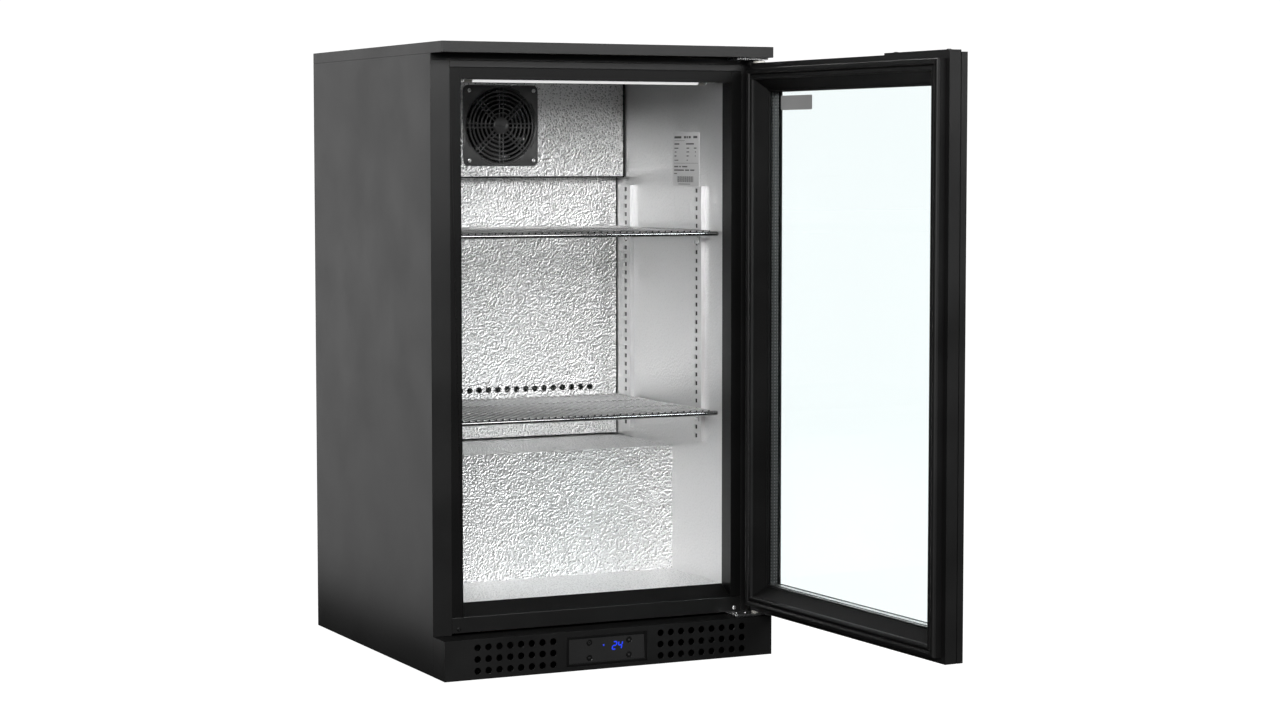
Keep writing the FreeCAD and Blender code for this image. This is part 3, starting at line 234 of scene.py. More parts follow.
def clear_glass(name):
    """Float glass with a faint green-blue body and a reflection that grows as it turns away."""
    material = bpy.data.materials.new(name)
    material.use_nodes = True
    tree = material.node_tree
    tree.nodes.remove(tree.nodes["Principled BSDF"])
    through = tree.nodes.new("ShaderNodeBsdfTransparent")
    through.inputs["Color"].default_value = (0.972, 0.99, 0.99, 1.0)
    shine = tree.nodes.new("ShaderNodeBsdfGlossy")
    shine.inputs["Color"].default_value = (0.9, 0.95, 0.96, 1.0)
    shine.inputs["Roughness"].default_value = 0.02
    edge = tree.nodes.new("ShaderNodeLayerWeight")
    steep = tree.nodes.new("ShaderNodeMath")
    steep.operation = "POWER"
    steep.inputs[1].default_value = 5.0
    share = tree.nodes.new("ShaderNodeMapRange")
    share.inputs["To Min"].default_value = 0.004
    share.inputs["To Max"].default_value = 0.25
    mixed = tree.nodes.new("ShaderNodeMixShader")
    tree.links.new(edge.outputs["Facing"], steep.inputs[0])
    tree.links.new(steep.outputs["Value"], share.inputs["Value"])
    tree.links.new(share.outputs["Result"], mixed.inputs["Fac"])
    tree.links.new(through.outputs["BSDF"], mixed.inputs[1])
    tree.links.new(shine.outputs["BSDF"], mixed.inputs[2])
    tree.links.new(mixed.outputs["Shader"], tree.nodes["Material Output"].inputs["Surface"])
    return material


def glowing(name, colour, strength, base=(0.8, 0.8, 0.8), cloud=20 * MM):
    """A lit plastic: its glow is slightly cloudy."""
    shader = Shader(name)
    slow = shader.noise(cloud, 1.0)
    shader.feed(shader.tones(slow, tuple(c * 0.93 for c in base), base), "Base Color")
    shader.set("Roughness", 0.35)
    shader.set("Emission Color", (*colour, 1.0))
    shader.feed(shader.span(slow, strength * 0.94, strength), "Emission Strength")
    return shader.material


def perforated(name, pitch, hole):
    """The aluminium spacer between the panes, with its even rows of breather holes.

    hole is a hole's radius as a share of their pitch.
    """
    shader = Shader(name, metallic=0.7)
    dot = shader.cells(pitch, random=0.0).outputs["Distance"]
    rim = (hole, hole + 0.1)
    # the holes are not cut: each is a darker, duller dot with a dip in the bump, its dark being
    # painted shade inside the hole
    shader.feed(shader.tones(dot, grey(0.3), grey(0.08), *rim), "Base Color")
    shader.feed(shader.span(dot, 0.7, 0.36, *rim), "Roughness")
    shader.feed(shader.bump(shader.span(dot, 0.0, 1.0, *rim), 0.3 * MM), "Normal")
    return shader.material


# paints and plastics: name, two tones, roughness from and to, then grain, height and patch in mm
COATED = plain_finish("powder_coat", 0.0035, 0.005, (0.33, 0.38), 1.1, 0.04)
PLASTIC = plain_finish("satin_plastic", 0.003, 0.004, (0.34, 0.4), 0.8, 0.02, specular=0.17)
# painted shade: a near-black matt finish for faces that lie only in shade, such as those behind the
# plinth's vents
PAINTED_SHADE = plain_finish("painted_shade_black", 0.002, 0.003, (0.6, 0.7), 1.1, 0.03, specular=0.06)
TRIM = plain_finish("door_trim", 0.004, 0.006, (0.33, 0.41), 0.9, 0.02, specular=0.17)
PROFILE = plain_finish("door_profile", 0.005, 0.007, (0.34, 0.42), 1.0, 0.02, specular=0.45)
RUBBER = plain_finish("seal_rubber", 0.004, 0.006, (0.42, 0.55), 1.5, 0.03, specular=0.3)
FAN = plain_finish("fan_plastic", 0.06, 0.07, (0.25, 0.33), 0.8, 0.02)
FOOT = plain_finish("foot_plastic", 0.01, 0.016, (0.5, 0.6), 1.2, 0.04)
PAINT = plain_finish("compressor_paint", 0.012, 0.02, (0.22, 0.32), 2.0, 0.04)
WINDOW = plain_finish("control_window", 0.016, 0.021, (0.1, 0.16), 4.0, 0.01, coat=0.5)
ICON = plain_finish("icon_grey", 0.035, 0.05, (0.3, 0.4), 1.0, 0.01)
LABEL = plain_finish("label_paper", 0.62, 0.7, (0.45, 0.55), 2.0, 0.01)
PRINT = plain_finish("label_print", 0.05, 0.08, (0.5, 0.6), 2.0, 0.01)
STICKER = plain_finish("pane_sticker", 0.34, 0.4, (0.45, 0.55), 2.0, 0.02)
NYLON = plain_finish("nylon", (0.72, 0.7, 0.64), (0.8, 0.78, 0.72), (0.4, 0.5), 1.0, 0.02)
FOAM = plain_finish("foam", (0.72, 0.62, 0.38), (0.82, 0.72, 0.47), (0.85, 0.95), 1.2, 0.3, 20)

# metals
COPPER = plain_finish(
    "copper", (0.72, 0.32, 0.18), (0.86, 0.43, 0.26), (0.25, 0.45), 2.0, 0.03, 20, metallic=1.0
)
ZINC = plain_finish("zinc_plate", 0.62, 0.74, (0.2, 0.34), 1.2, 0.02, 10, metallic=1.0)
CHROME = plain_finish("chrome_wire", 0.3, 0.44, (0.1, 0.2), 3.0, 0.02, 10, metallic=1.0)
ALUMINIUM = brushed("aluminium", 0.8, (0.3, 0.42), metallic=0.7)
# the fourth number is the painted shade in the dips between blisters: the share of the tone left
# there
LINER = stucco("stucco_liner", 3.0 * MM, 1.3 * MM, 0.84, 0.24, (0.3, 0.38))
LINER_SIDE = stucco("stucco_side", 3.4 * MM, 0.3 * MM, 0.74, 0.92, (0.32, 0.4))
GALVANISED = galvanised("galvanised")
SPACER = perforated("pane_spacer", 4.6 * MM, 0.3)

GLASS = clear_glass("glass")
LAMP = glowing("lamp_lens", (1.0, 1.0, 1.0), 0.75)
DIGIT = glowing("display_blue", (0.012, 0.05, 0.8), 0.9, (0.01, 0.02, 0.3), 4 * MM)


# ---------------------------------------------------------------- building


def finish_piece(name, mesh, material, body, slot, *nodes):
    """Links a mesh as a piece of the object that rides on a body and may stand for CAD nodes."""
    piece = bpy.data.objects.new(name, mesh)
    bpy.context.scene.collection.objects.link(piece)
    mesh.materials.clear()
    mesh.materials.append(material)
    mesh.polygons.foreach_set("use_smooth", [True] * len(mesh.polygons))
    even = piece.modifiers.new("even_shading", "WEIGHTED_NORMAL")
    even.keep_sharp = True
    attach(piece, body)
    if nodes:
        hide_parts(*nodes)
    return piece


def from_bmesh(name, shape, material, body, slot, *nodes):
    """Turns a finished shape into a piece, and frees it."""
    mesh = bpy.data.meshes.new(name)
    shape.to_mesh(mesh)
    shape.free()
    return finish_piece(name, mesh, material, body, slot, *nodes)


def body_of(node):
    """The body that a CAD node rides on."""
    return NODES[node]["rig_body"]


def slot_of(node):
    """The material slot that a CAD node came with."""
    return NODES[node].data.materials[0].name.split(".")[0]


def round_edges(shape, width, segments=2, sharper=30):
    """Rounds every edge of the shape that turns by more than sharper degrees."""
    edges = [
        edge for edge in shape.edges
        if len(edge.link_faces) == 2 and edge.calc_face_angle(0) > math.radians(sharper)
    ]
    bmesh.ops.bevel(
        shape,
        geom=edges,
        offset=width,
        segments=segments,
        profile=0.5,
        affect="EDGES",
        clamp_overlap=True,
    )


def welded(node):
    """A copy of a CAD node's mesh with its corners joined up."""
    shape = bmesh.new()
    shape.from_mesh(NODES[node].data)
    bmesh.ops.remove_doubles(shape, verts=shape.verts, dist=1e-6)
    return shape


# a face larger than this is one of a part's flats, and not part of a curve
SMALL_FACE = 60 * MM * MM


def eased(node, material, width, segments=2):
    """A CAD node's own shape with its edges rounded, standing for that node."""
    shape = welded(node)
    bmesh.ops.dissolve_limit(
        shape, angle_limit=math.radians(0.6), verts=shape.verts, edges=shape.edges
    )
    round_edges(shape, width, segments)
    piece = from_bmesh(node + "_eased", shape, material, body_of(node), slot_of(node), node)
    # only the rounded edges and other small faces blend
    for face in piece.data.polygons:
        face.use_smooth = face.area < SMALL_FACE
    return piece


def second_finish(piece, material, where):
    """Puts a second material on the faces whose middle passes a test."""
    piece.data.materials.append(material)
    for face in piece.data.polygons:
        if where(piece.matrix_world @ face.center):
            face.material_index = 1


def dressed(node, material):
    """Gives a carried-over CAD node its finish."""
    slots = NODES[node].data.materials
    for index in range(len(slots)):
        slots[index] = material


# ---------------------------------------------------------------- the cabinet


def cabinet_shell():
    """The outside sheets, the plinth, the back and the base."""
    for node in ("top_cover", "outer_side_left", "outer_side_right"):
        eased(node, COATED, 0.7 * MM, 3)
    eased("front_rails", COATED, 0.5 * MM)
    plinth = eased("plinth_grille", COATED, 0.45 * MM)
    low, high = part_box("plinth_grille")
    behind_face, ends = low.y + 1.5 * MM, 2 * MM
    # the faces behind the vents get painted shade, a near-black matt that stands for the dark inside
    # the plinth
    second_finish(
        plinth,
        PAINTED_SHADE,
        lambda spot: spot.y > behind_face and low.x + ends < spot.x < high.x - ends,
    )
    eased("opening_frame", PLASTIC, 0.5 * MM)
    eased("rear_panel", GALVANISED, 0.3 * MM)
    eased("rear_grille", COATED, 0.25 * MM)
    # the base pan is black, in the same near-black painted shade as the plinth's inside, so that it
    # stays dark through the vents
    eased("base_pan", PAINTED_SHADE, 0.4 * MM)
    eased("machine_bulkhead", GALVANISED, 0.2 * MM)
    eased("hinge_bracket_top", ZINC, 0.4 * MM)
    eased("hinge_bracket_bottom", ZINC, 0.4 * MM)


def interior():
    """The embossed liner and what hangs on it."""
    for node in ("liner_ceiling", "liner_rear", "liner_floor", "liner_step"):
        dressed(node, LINER)
    dressed("liner_sides", LINER_SIDE)
    eased("evaporator_cover", LINER, 0.6 * MM)
    dressed("air_duct_panel", LINER)
    eased("shelf_support_strips", ALUMINIUM, 0.3 * MM)
    eased("shelf_clips", ZINC, 0.3 * MM)
    for node in ("shelf_upper", "shelf_lower"):
        dressed(node, CHROME)


def machine_room():
    """The cooling parts, mostly out of sight, and the feet."""
    for node in ("compressor", "condenser_coil"):
        dressed(node, PAINT)
    for fan in ("evaporator_fan", "condenser_fan"):
        dressed(fan + "_motor", PLASTIC)
        dressed(fan + "_blades", PLASTIC)
    dressed("compressor_mounts", RUBBER)
    dressed("refrigerant_line", COPPER)
    dressed("evaporator_coil", ALUMINIUM)
    dressed("insulation_foam", FOAM)
    for node in ("drip_tray", "electrical_box", "cable_gland", "controller_module"):
        eased(node, PLASTIC, 0.5 * MM)
    for corner in ("front_left", "front_right", "rear_left", "rear_right"):
        eased("foot_" + corner, FOOT, 0.5 * MM)


# ---------------------------------------------------------------- shapes


def turned(shape, profile, origin, axis, segments=32, arc=None):
    """Revolves (radius, height) points about an axis through origin.

    The whole way round, or from start to end where arc gives the two in degrees.
    """
    across = Vector((0, 0, 1)) if abs(axis.z) < 0.9 else Vector((0, 1, 0))
    across = (across - axis * across.dot(axis)).normalized()
    other = axis.cross(across)
    closed = arc is None
    first, last = (0.0, 360.0) if closed else arc
    count = segments if closed else segments + 1
    rings = []
    for step in range(count):
        angle = math.radians(first + (last - first) * step / segments)
        out = across * math.cos(angle) + other * math.sin(angle)
        rings.append([shape.verts.new(origin + out * r + axis * h) for r, h in profile])
    for step in range(segments):
        here, there = rings[step], rings[(step + 1) % count]
        for i in range(len(profile)):
            j = (i + 1) % len(profile)
            # a side on the axis itself has no face
            if profile[i][0] + profile[j][0] > 1e-9:
                shape.faces.new((here[i], here[j], there[j], there[i]))
    if not closed:
        shape.faces.new(rings[0])
        shape.faces.new(list(reversed(rings[-1])))
    bmesh.ops.remove_doubles(shape, verts=shape.verts, dist=1e-7)


def circle_profile(radius, tube, lift=0.0, flat=1.0, sides=10):
    """The section of a ring of round wire; flat is its height as a share of its width."""
    turns = [math.tau * i / sides for i in range(sides)]
    return [(radius + tube * math.cos(a), lift + tube * flat * math.sin(a)) for a in turns]


def bar(shape, start, end, width, height, up):
    """A straight bar with an eight-sided section between two points."""
    along = (end - start).normalized()
    side = along.cross(up).normalized()
    sides = 8
    section = []
    for step in range(sides):
        angle = math.tau * (step + 0.5) / sides
        section.append(side * (math.cos(angle) * width / 2) + up * (math.sin(angle) * height / 2))
    rings = [[shape.verts.new(at + offset) for offset in section] for at in (start, end)]
    for i in range(sides):
        j = (i + 1) % sides
        shape.faces.new((rings[0][i], rings[0][j], rings[1][j], rings[1][i]))
    shape.faces.new(list(reversed(rings[0])))
    shape.faces.new(rings[1])


def plate(shape, outline, lift):
    """A flat plate over an outline of points, lifted along a vector."""
    bottom = [shape.verts.new(p) for p in outline]
    top = [shape.verts.new(p + lift) for p in outline]
    count = len(outline)
    shape.faces.new(list(reversed(bottom)))
    shape.faces.new(top)
    for i in range(count):
        j = (i + 1) % count
        shape.faces.new((bottom[i], bottom[j], top[j], top[i]))


def rounded_outline(width, height, radius, per_corner=6):
    """A rectangle with round corners, about its own middle, as (across, up) pairs."""
    points = []
    for quarter, (sx, sy) in enumerate(((1, 1), (-1, 1), (-1, -1), (1, -1))):
        for step in range(per_corner + 1):
            angle = math.radians(90 * (quarter + step / per_corner))
            points.append(
                (
                    sx * (width / 2 - radius) + radius * math.cos(angle),
                    sy * (height / 2 - radius) + radius * math.sin(angle),
                )
            )
    return points


def corners_of(points):
    """The lowest and highest corners of the box around points."""
    low = Vector(min(p[i] for p in points) for i in range(3))
    high = Vector(max(p[i] for p in points) for i in range(3))
    return low, high


def loose_boxes(node):
    """The (lowest, highest) corners of each separate solid in a CAD node."""
    shape = welded(node)
    waiting = set(shape.verts)
    boxes = []
    while waiting:
        reached, front = set(), {waiting.pop()}
        while front:
            vertex = front.pop()
            reached.add(vertex)
            beside = {edge.other_vert(vertex) for edge in vertex.link_edges}
            front |= beside & waiting
            waiting -= front
        boxes.append(corners_of([v.co for v in reached]))
    shape.free()
    return sorted(boxes, key=lambda pair: tuple(round(c, 5) for c in pair[0]))


# ---------------------------------------------------------------- small parts of the cabinet


def pan_head(shape, centre, axis, radius, height):
    """A domed screw head with a cross recess, standing on the plane through centre."""
    reach, arm, depth = radius * 0.56, radius * 0.13, height * 0.55
    start = len(shape.verts)
    shares = (0.0, 0.14, 0.24, 0.34, 0.44, 0.52, 0.6, 0.74, 0.88, 0.96, 1.0)
    dome = [(radius * s, height * math.sqrt(max(0.0, 1 - 0.75 * s ** 4))) for s in shares]
    turned(shape, [*dome, (radius, 0.0), (0.0, 0.0)], centre, axis, 40)
    shape.verts.ensure_lookup_table()
    across = Vector((0, 0, 1)) if abs(axis.z) < 0.9 else Vector((0, 1, 0))
    other = axis.cross(across)
    for vertex in shape.verts[start:]:
        place = vertex.co - centre
        u, v = place.dot(across), place.dot(other)
        on_dome = place.dot(axis) > height * 0.5 and math.hypot(u, v) < reach
        if on_dome and min(abs(u), abs(v)) < arm:
            vertex.co -= axis * depth


def screws():
    """The cabinet's screw heads, each facing away from the sheet that it holds."""
    shape = bmesh.new()
    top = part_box("top_cover")[0].z
    for corner, far in loose_boxes("cabinet_screws"):
        size = far - corner
        thin = min(range(3), key=lambda i: size[i])
        axis = Vector((0, 0, 0))
        axis[thin] = -1.0 if thin == 1 or far.z > top / 2 else 1.0
        centre = (corner + far) / 2
        centre[thin] = far[thin] if axis[thin] < 0 else corner[thin]
        pan_head(shape, centre, axis, max(size) / 2, size[thin])
    bmesh.ops.recalc_face_normals(shape, faces=shape.faces)
    heads = from_bmesh(
        "cabinet_screw_heads", shape, ZINC, "cabinet", "zinc_plate", "cabinet_screws"
    )
    # the one at the sill's left end is as dark as the sill
    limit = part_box("opening_frame")[0] + Vector((40, 12, 60)) * MM
    second_finish(heads, PLASTIC, lambda spot: all(spot[i] < limit[i] for i in range(3)))


def square_reach(angle, half, radius):
    """How far a square with round corners reaches from its middle in a direction."""
    c, s = abs(math.cos(angle)), abs(math.sin(angle))
    inner = half - radius
    reach = half / max(c, s)
    if reach * c > inner and reach * s > inner:
        toward = inner * (c + s)
        reach = toward + math.sqrt(max(0.0, toward ** 2 - 2 * inner ** 2 + radius ** 2))
    return reach


def fan_guard():
    """The moulded finger guard: a frame with ridges, rings, double spokes and a domed hub."""
    low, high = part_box("fan_guard")
    half = (high.x - low.x) / 2
    # the round hole's radius, and the frame's thickness
    throat, thick = half - 5 * MM, 2.6 * MM
    out = Vector((0, -1, 0))
    middle = Vector(((low.x + high.x) / 2, high.y, (low.z + high.z) / 2))
    front = middle + out * (high.y - low.y)
    shape = bmesh.new()
    segments = 96
    rings = []
    for step in range(segments):
        angle = math.tau * (step + 0.5) / segments
        ray = Vector((math.cos(angle), 0, math.sin(angle)))
        reach = square_reach(angle, half, 7 * MM)
        rim = [
            middle + ray * reach,
            middle + ray * reach + out * thick,
            middle + ray * (throat + 2.2 * MM) + out * thick,
            middle + ray * throat + out * (thick - 1.9 * MM),
            middle + ray * throat,
        ]
        rings.append([shape.verts.new(p) for p in rim])
    for step in range(segments):
        here, there = rings[step], rings[(step + 1) % segments]
        for i in range(len(rim)):
            j = (i + 1) % len(rim)
            shape.faces.new((here[i], here[j], there[j], there[i]))
    round_edges(shape, 0.5 * MM, sharper=50)
    grid = front - out * 1.3 * MM
    for radius in (19, 25.5, 32, 38.5, 45, 51):
        turned(shape, circle_profile(radius * MM, 1.45 * MM, 0.0, 0.85), grid, out, 72)
    hub = [(0, 1.5), (6, 1.4), (10.5, 1.1), (12.4, 0.5), (13, -0.4), (13, -1.4), (0, -1.4)]
    turned(shape, [(r * MM, h * MM) for r, h in hub], grid, out, 48)
    for turn in range(8):
        angle = math.radians(45 * turn)
        ray = Vector((math.cos(angle), 0, math.sin(angle)))
        for aside in (-2.9 * MM, 2.9 * MM):
            line = grid + ray.cross(out) * aside
            start, end = line + ray * 11.5 * MM, line + ray * (throat + 1.5 * MM)
            bar(shape, start, end, 2.5 * MM, 2.4 * MM, out)
    for corner in range(4):
        for start, end in ((12, 31), (-31, -12)):
            arc = (45 + 90 * corner + start, 45 + 90 * corner + end)
            ridge = circle_profile(throat + 3.6 * MM, 1.2 * MM, thick, 1.2, 8)
            turned(shape, ridge, middle, out, 12, arc)
    bmesh.ops.recalc_face_normals(shape, faces=shape.faces)
    from_bmesh("fan_guard_grille", shape, FAN, "cabinet", slot_of("fan_guard"), "fan_guard")


def slab(shape, low, high):
    """A straight-sided strip between two corners."""
    outline = [(low.x, low.z), (high.x, low.z), (high.x, high.z), (low.x, high.z)]
    plate(shape, [Vector((x, low.y, z)) for x, z in outline], Vector((0, high.y - low.y, 0)))


def shade_gap_strips():
    """Painted shade: dark strips along the edges of the evaporator cover and the duct panel, standing
    for the shadow in the gaps at their edges.
    """
    shape = bmesh.new()
    low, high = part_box("evaporator_cover")
    beside = Vector((high.x - 3 * MM, low.y - 0.8 * MM, low.z))
    slab(shape, beside, Vector((high.x, low.y, high.z)))
    below = Vector((low.x, low.y + 1 * MM, low.z - 2 * MM))
    slab(shape, below, Vector((high.x, low.y + 5 * MM, low.z)))
    low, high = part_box("air_duct_panel")
    wide = 1.4 * MM
    for x in (high.x - wide, low.x):
        slab(shape, Vector((x, low.y - 1.2 * MM, low.z)), Vector((x + wide, low.y, high.z)))
    bmesh.ops.recalc_face_normals(shape, faces=shape.faces)
    round_edges(shape, 0.3 * MM, sharper=50)
    from_bmesh("panel_gap_painted_shade", shape, PLASTIC, "cabinet", "black_plastic")


def slot_shade_sheets():
    """Painted shade: a dark sheet inside each support strip, behind its column of slots, standing for
    the shade in the slots.
    """
    shape = bmesh.new()
    deep, thick, wide, short = 1.5 * MM, 0.4 * MM, 9.4 * MM, 2 * MM
    for low, high in loose_boxes("shelf_support_strips"):
        # deep behind the slotted face, which looks toward the cabinet's middle
        x = low.x + deep if low.x > 0 else high.x - deep - thick
        y = (low.y + high.y) / 2
        slab(shape, Vector((x, y, low.z + short)), Vector((x + thick, y + wide, high.z - short)))
    bmesh.ops.recalc_face_normals(shape, faces=shape.faces)
    from_bmesh("support_strip_slot_shade", shape, PLASTIC, "cabinet", "black_plastic")


def lamp_caps():
    """The white end caps that hold the lamp's diffuser."""
    low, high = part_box("lamp_diffuser")
    radius = (high.y - low.y) / 2
    fat, sleeve, length = radius * 1.1, 10 * MM, 13 * MM
    steps = [math.radians(15 * i) for i in range(7)]
    end = [(fat * math.cos(a), sleeve + radius * math.sin(a)) for a in steps]
    shape = bmesh.new()
    for side, x in ((-1, low.x), (1, high.x)):
        centre = Vector((x - side * length, (low.y + high.y) / 2, high.z))
        profile = [(0.0, 0.0), (fat, 0.0), *end]
        turned(shape, profile, centre, Vector((side, 0, 0)), 24, (90, 270))
    bmesh.ops.recalc_face_normals(shape, faces=shape.faces)
    from_bmesh("lamp_end_caps", shape, NYLON, "cabinet", "lamp_lens")


# each row: its share of the label's height from the top, its thickness in mm, and the bars that
# it is made of, each from start to end as shares of the label's width
LABEL_ROWS = (
    (0.09, 3.2, ((0.05, 0.32), (0.42, 0.5), (0.52, 0.57), (0.6, 0.68), (0.78, 0.93))),
    (0.155, 0.5, ((0.05, 0.45),)),
    (0.215, 2.0, ((0.05, 0.24), (0.5, 0.8))),
    (0.295, 1.5, ((0.05, 0.2), (0.52, 0.62), (0.8, 0.9))),
    (0.365, 1.4, ((0.06, 0.13), (0.52, 0.62), (0.84, 0.88))),
    (0.44, 1.5, ((0.05, 0.13), (0.52, 0.6), (0.84, 0.87))),
    (0.52, 1.2, ((0.05, 0.2), (0.52, 0.57))),
    (0.575, 0.4, ((0.04, 0.96),)),
    (0.64, 1.8, ((0.04, 0.2), (0.24, 0.3), (0.35, 0.55))),
    (0.705, 1.8, ((0.04, 0.42), (0.46, 0.62), (0.66, 0.82))),
    (0.77, 1.4, ((0.04, 0.15),)),
    (0.965, 0.8, ((0.2, 0.66),)),
)


def label_print():
    """The data label's blank bars: no words, only the weight of the print."""
    low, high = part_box("rating_label")
    wide, tall = high.y - low.y, high.z - low.z
    ink = Vector((-0.06 * MM, 0, 0))
    shape = bmesh.new()

    def mark(start, end, top, bottom):
        first, last = high.y - wide * start, high.y - wide * end
        outline = [(first, bottom), (last, bottom), (last, top), (first, top)]
        plate(shape, [Vector((low.x, y, z)) for y, z in outline], ink)

    for share, thick, spans in LABEL_ROWS:
        middle = high.z - tall * share
        for start, end in spans:
            mark(start, end, middle + thick / 2 * MM, middle - thick / 2 * MM)
    # the upright stripes near the foot
    stripes, widths = 26, (0.008, 0.016, 0.011)
    top, bottom = high.z - tall * 0.82, high.z - tall * 0.93
    for index in range(stripes):
        start = 0.16 + 0.62 * index / stripes
        mark(start, start + widths[index % 3], top, bottom)
    bmesh.ops.recalc_face_normals(shape, faces=shape.faces)
    from_bmesh("rating_label_print", shape, PRINT, "cabinet", "white_label")


# ---------------------------------------------------------------- the controller

SEGMENTS = {
    # each lit stroke from start to end, in units of the digit's half width and half height
    "a": ((-1, 1), (1, 1)),
    "b": ((1, 1), (1, 0)),
    "c": ((1, 0), (1, -1)),
    "d": ((-1, -1), (1, -1)),
    "e": ((-1, 0), (-1, -1)),
    "f": ((-1, 1), (-1, 0)),
    "g": ((-1, 0), (1, 0)),
}
# the strokes of the two digits
SHOWN = ("abged", "fgbc")
DIGIT_LEAN = math.radians(12)


def display():
    """A slanted two-digit read-out and a status dot, lit blue behind the window."""
    low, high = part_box("controller_window")
    half_wide, half_high, stroke = 2.7 * MM, 5.2 * MM, 1.9 * MM
    first, pitch, thick = 3.4 * MM, 8.6 * MM, 0.1 * MM
    middle_z = (low.z + high.z) / 2 + 4 * MM
    shape = bmesh.new()
    for index, lit in enumerate(SHOWN):
        centre = Vector((first + index * pitch, low.y, middle_z))
        for name in lit:
            ends = [Vector((u * half_wide, 0, v * half_high)) for u, v in SEGMENTS[name]]
            along = (ends[1] - ends[0]).normalized()
            across = along.cross(Vector((0, 1, 0))) * stroke / 2
            ends = [ends[0] + along * stroke * 0.55, ends[1] - along * stroke * 0.55]
            point = along * stroke / 2
            outline = [
                ends[0] - point,
                ends[0] + across,
                ends[1] + across,
                ends[1] + point,
                ends[1] - across,
                ends[0] - across,
            ]
            leaning = [centre + p + Vector((p.z * math.tan(DIGIT_LEAN), 0, 0)) for p in outline]
            plate(shape, leaning, Vector((0, -thick, 0)))
    dot = Vector((-13.2 * MM, low.y, middle_z + 1.6 * MM))
    disc = [(0, 0), (1.2 * MM, 0), (1.2 * MM, thick), (0, thick)]
    turned(shape, disc, dot, Vector((0, -1, 0)), 20)
    bmesh.ops.recalc_face_normals(shape, faces=shape.faces)
    from_bmesh("display_digits", shape, DIGIT, "cabinet", "control_window")


def button_icons():
    """A plain raised mark on each of the four buttons: up, down, a ring and a bar."""
    out = Vector((0, -1, 0))
    raised = out * 0.08 * MM
    for corner in ("lower_left", "lower_right", "upper_left", "upper_right"):
        node = "button_" + corner
        low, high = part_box(node)
        centre = Vector(((low.x + high.x) / 2, low.y, (low.z + high.z) / 2))
        shape = bmesh.new()
        if corner.endswith("right"):
            tip = 1 if corner.startswith("upper") else -1
            outline = [(-1.7, -1.1 * tip), (1.7, -1.1 * tip), (0, 1.5 * tip)]
            plate(shape, [centre + Vector((x * MM, 0, z * MM)) for x, z in outline], raised)
        elif corner.startswith("upper"):
            turned(shape, circle_profile(1.6 * MM, 0.25 * MM, 0.0, 0.4, 6), centre, out, 24)
        else:
            outline = rounded_outline(3.4 * MM, 0.9 * MM, 0.3 * MM, 2)
            plate(shape, [centre + Vector((x, 0, z)) for x, z in outline], raised)
        bmesh.ops.recalc_face_normals(shape, faces=shape.faces)
        from_bmesh(node + "_mark", shape, ICON, body_of(node), "control_button")
        eased(node, PLASTIC, 0.3 * MM)


def controller():
    """The control panel in the middle of the plinth."""
    eased("controller_bezel", PLASTIC, 0.6 * MM)
    eased("controller_window", WINDOW, 0.25 * MM)
    display()
    button_icons()


# ---------------------------------------------------------------- the door

SWING = next(joint for joint in frame["joints"] if joint["name"] == "door_swing")
HINGE = Vector(SWING["pos_m"])
# the door is worked out shut, as its profiles are measured, and then turned to where it stands open
OPENED = (
    Matrix.Translation(HINGE)
    @ Matrix.Rotation(math.radians(-SWING["range_deg"][0]), 4, "Z")
    @ Matrix.Translation(-HINGE)
)


def shut_box(node):
    """A door node's lowest and highest corners with the door turned shut."""
    turned_back = OPENED.inverted()
    return corners_of([turned_back @ v.co for v in NODES[node].data.vertices])


def moulding(name, profile, ease, material, *nodes):
    """Four mitred lengths round the door.

    The profile's points are (inset from the door's edge, depth behind its front) in mm.
    """
    low, high = shut_box("door_frame")
    corners = (
        (low.x, low.z, 1, 1),
        (high.x, low.z, -1, 1),
        (high.x, high.z, -1, -1),
        (low.x, high.z, 1, -1),
    )
    shape = bmesh.new()
    for index in range(4):
        ends = []
        for x, z, dx, dz in (corners[index], corners[(index + 1) % 4]):
            places = [
                Vector((x + dx * u * MM, low.y + v * MM, z + dz * u * MM)) for u, v in profile
            ]
            ends.append([shape.verts.new(OPENED @ place) for place in places])
        first, second = ends
        for i in range(len(profile)):
            j = (i + 1) % len(profile)
            shape.faces.new((first[i], second[i], second[j], first[j]))
        shape.faces.new(first)
        shape.faces.new(list(reversed(second)))
    bmesh.ops.recalc_face_normals(shape, faces=shape.faces)
    round_edges(shape, ease, sharper=24)
    return from_bmesh(name, shape, material, "door", slot_of(nodes[0]), *nodes)


def arc_points(centre, radii, start, end, steps):
    """Points on an ellipse from start to end degrees, as (inset, depth) pairs in mm."""
    (inset, depth), (wide, deep) = centre, radii
    turns = [math.radians(start + (end - start) * i / steps) for i in range(steps + 1)]
    return [(inset + wide * math.cos(a), depth + deep * math.sin(a)) for a in turns]


def pane_sticker():
    """The blank grey sticker in the pane's upper corner, on the hinge side."""
    corner = shut_box("door_frame")[1]
    inner = shut_box("door_glass")[1].y + 0.02 * MM
    wide, tall = 83 * MM, 20 * MM
    aside, down = 69 * MM, 47 * MM
    middle = Vector((corner.x - aside - wide / 2, inner, corner.z - down - tall / 2))
    outline = [middle + Vector((x, 0, z)) for x, z in rounded_outline(wide, tall, 2 * MM, 4)]
    shape = bmesh.new()
    plate(shape, outline, Vector((0, 0.12 * MM, 0)))
    bmesh.ops.recalc_face_normals(shape, faces=shape.faces)
    shape.transform(OPENED)
    from_bmesh("pane_sticker", shape, STICKER, "door", "white_label")


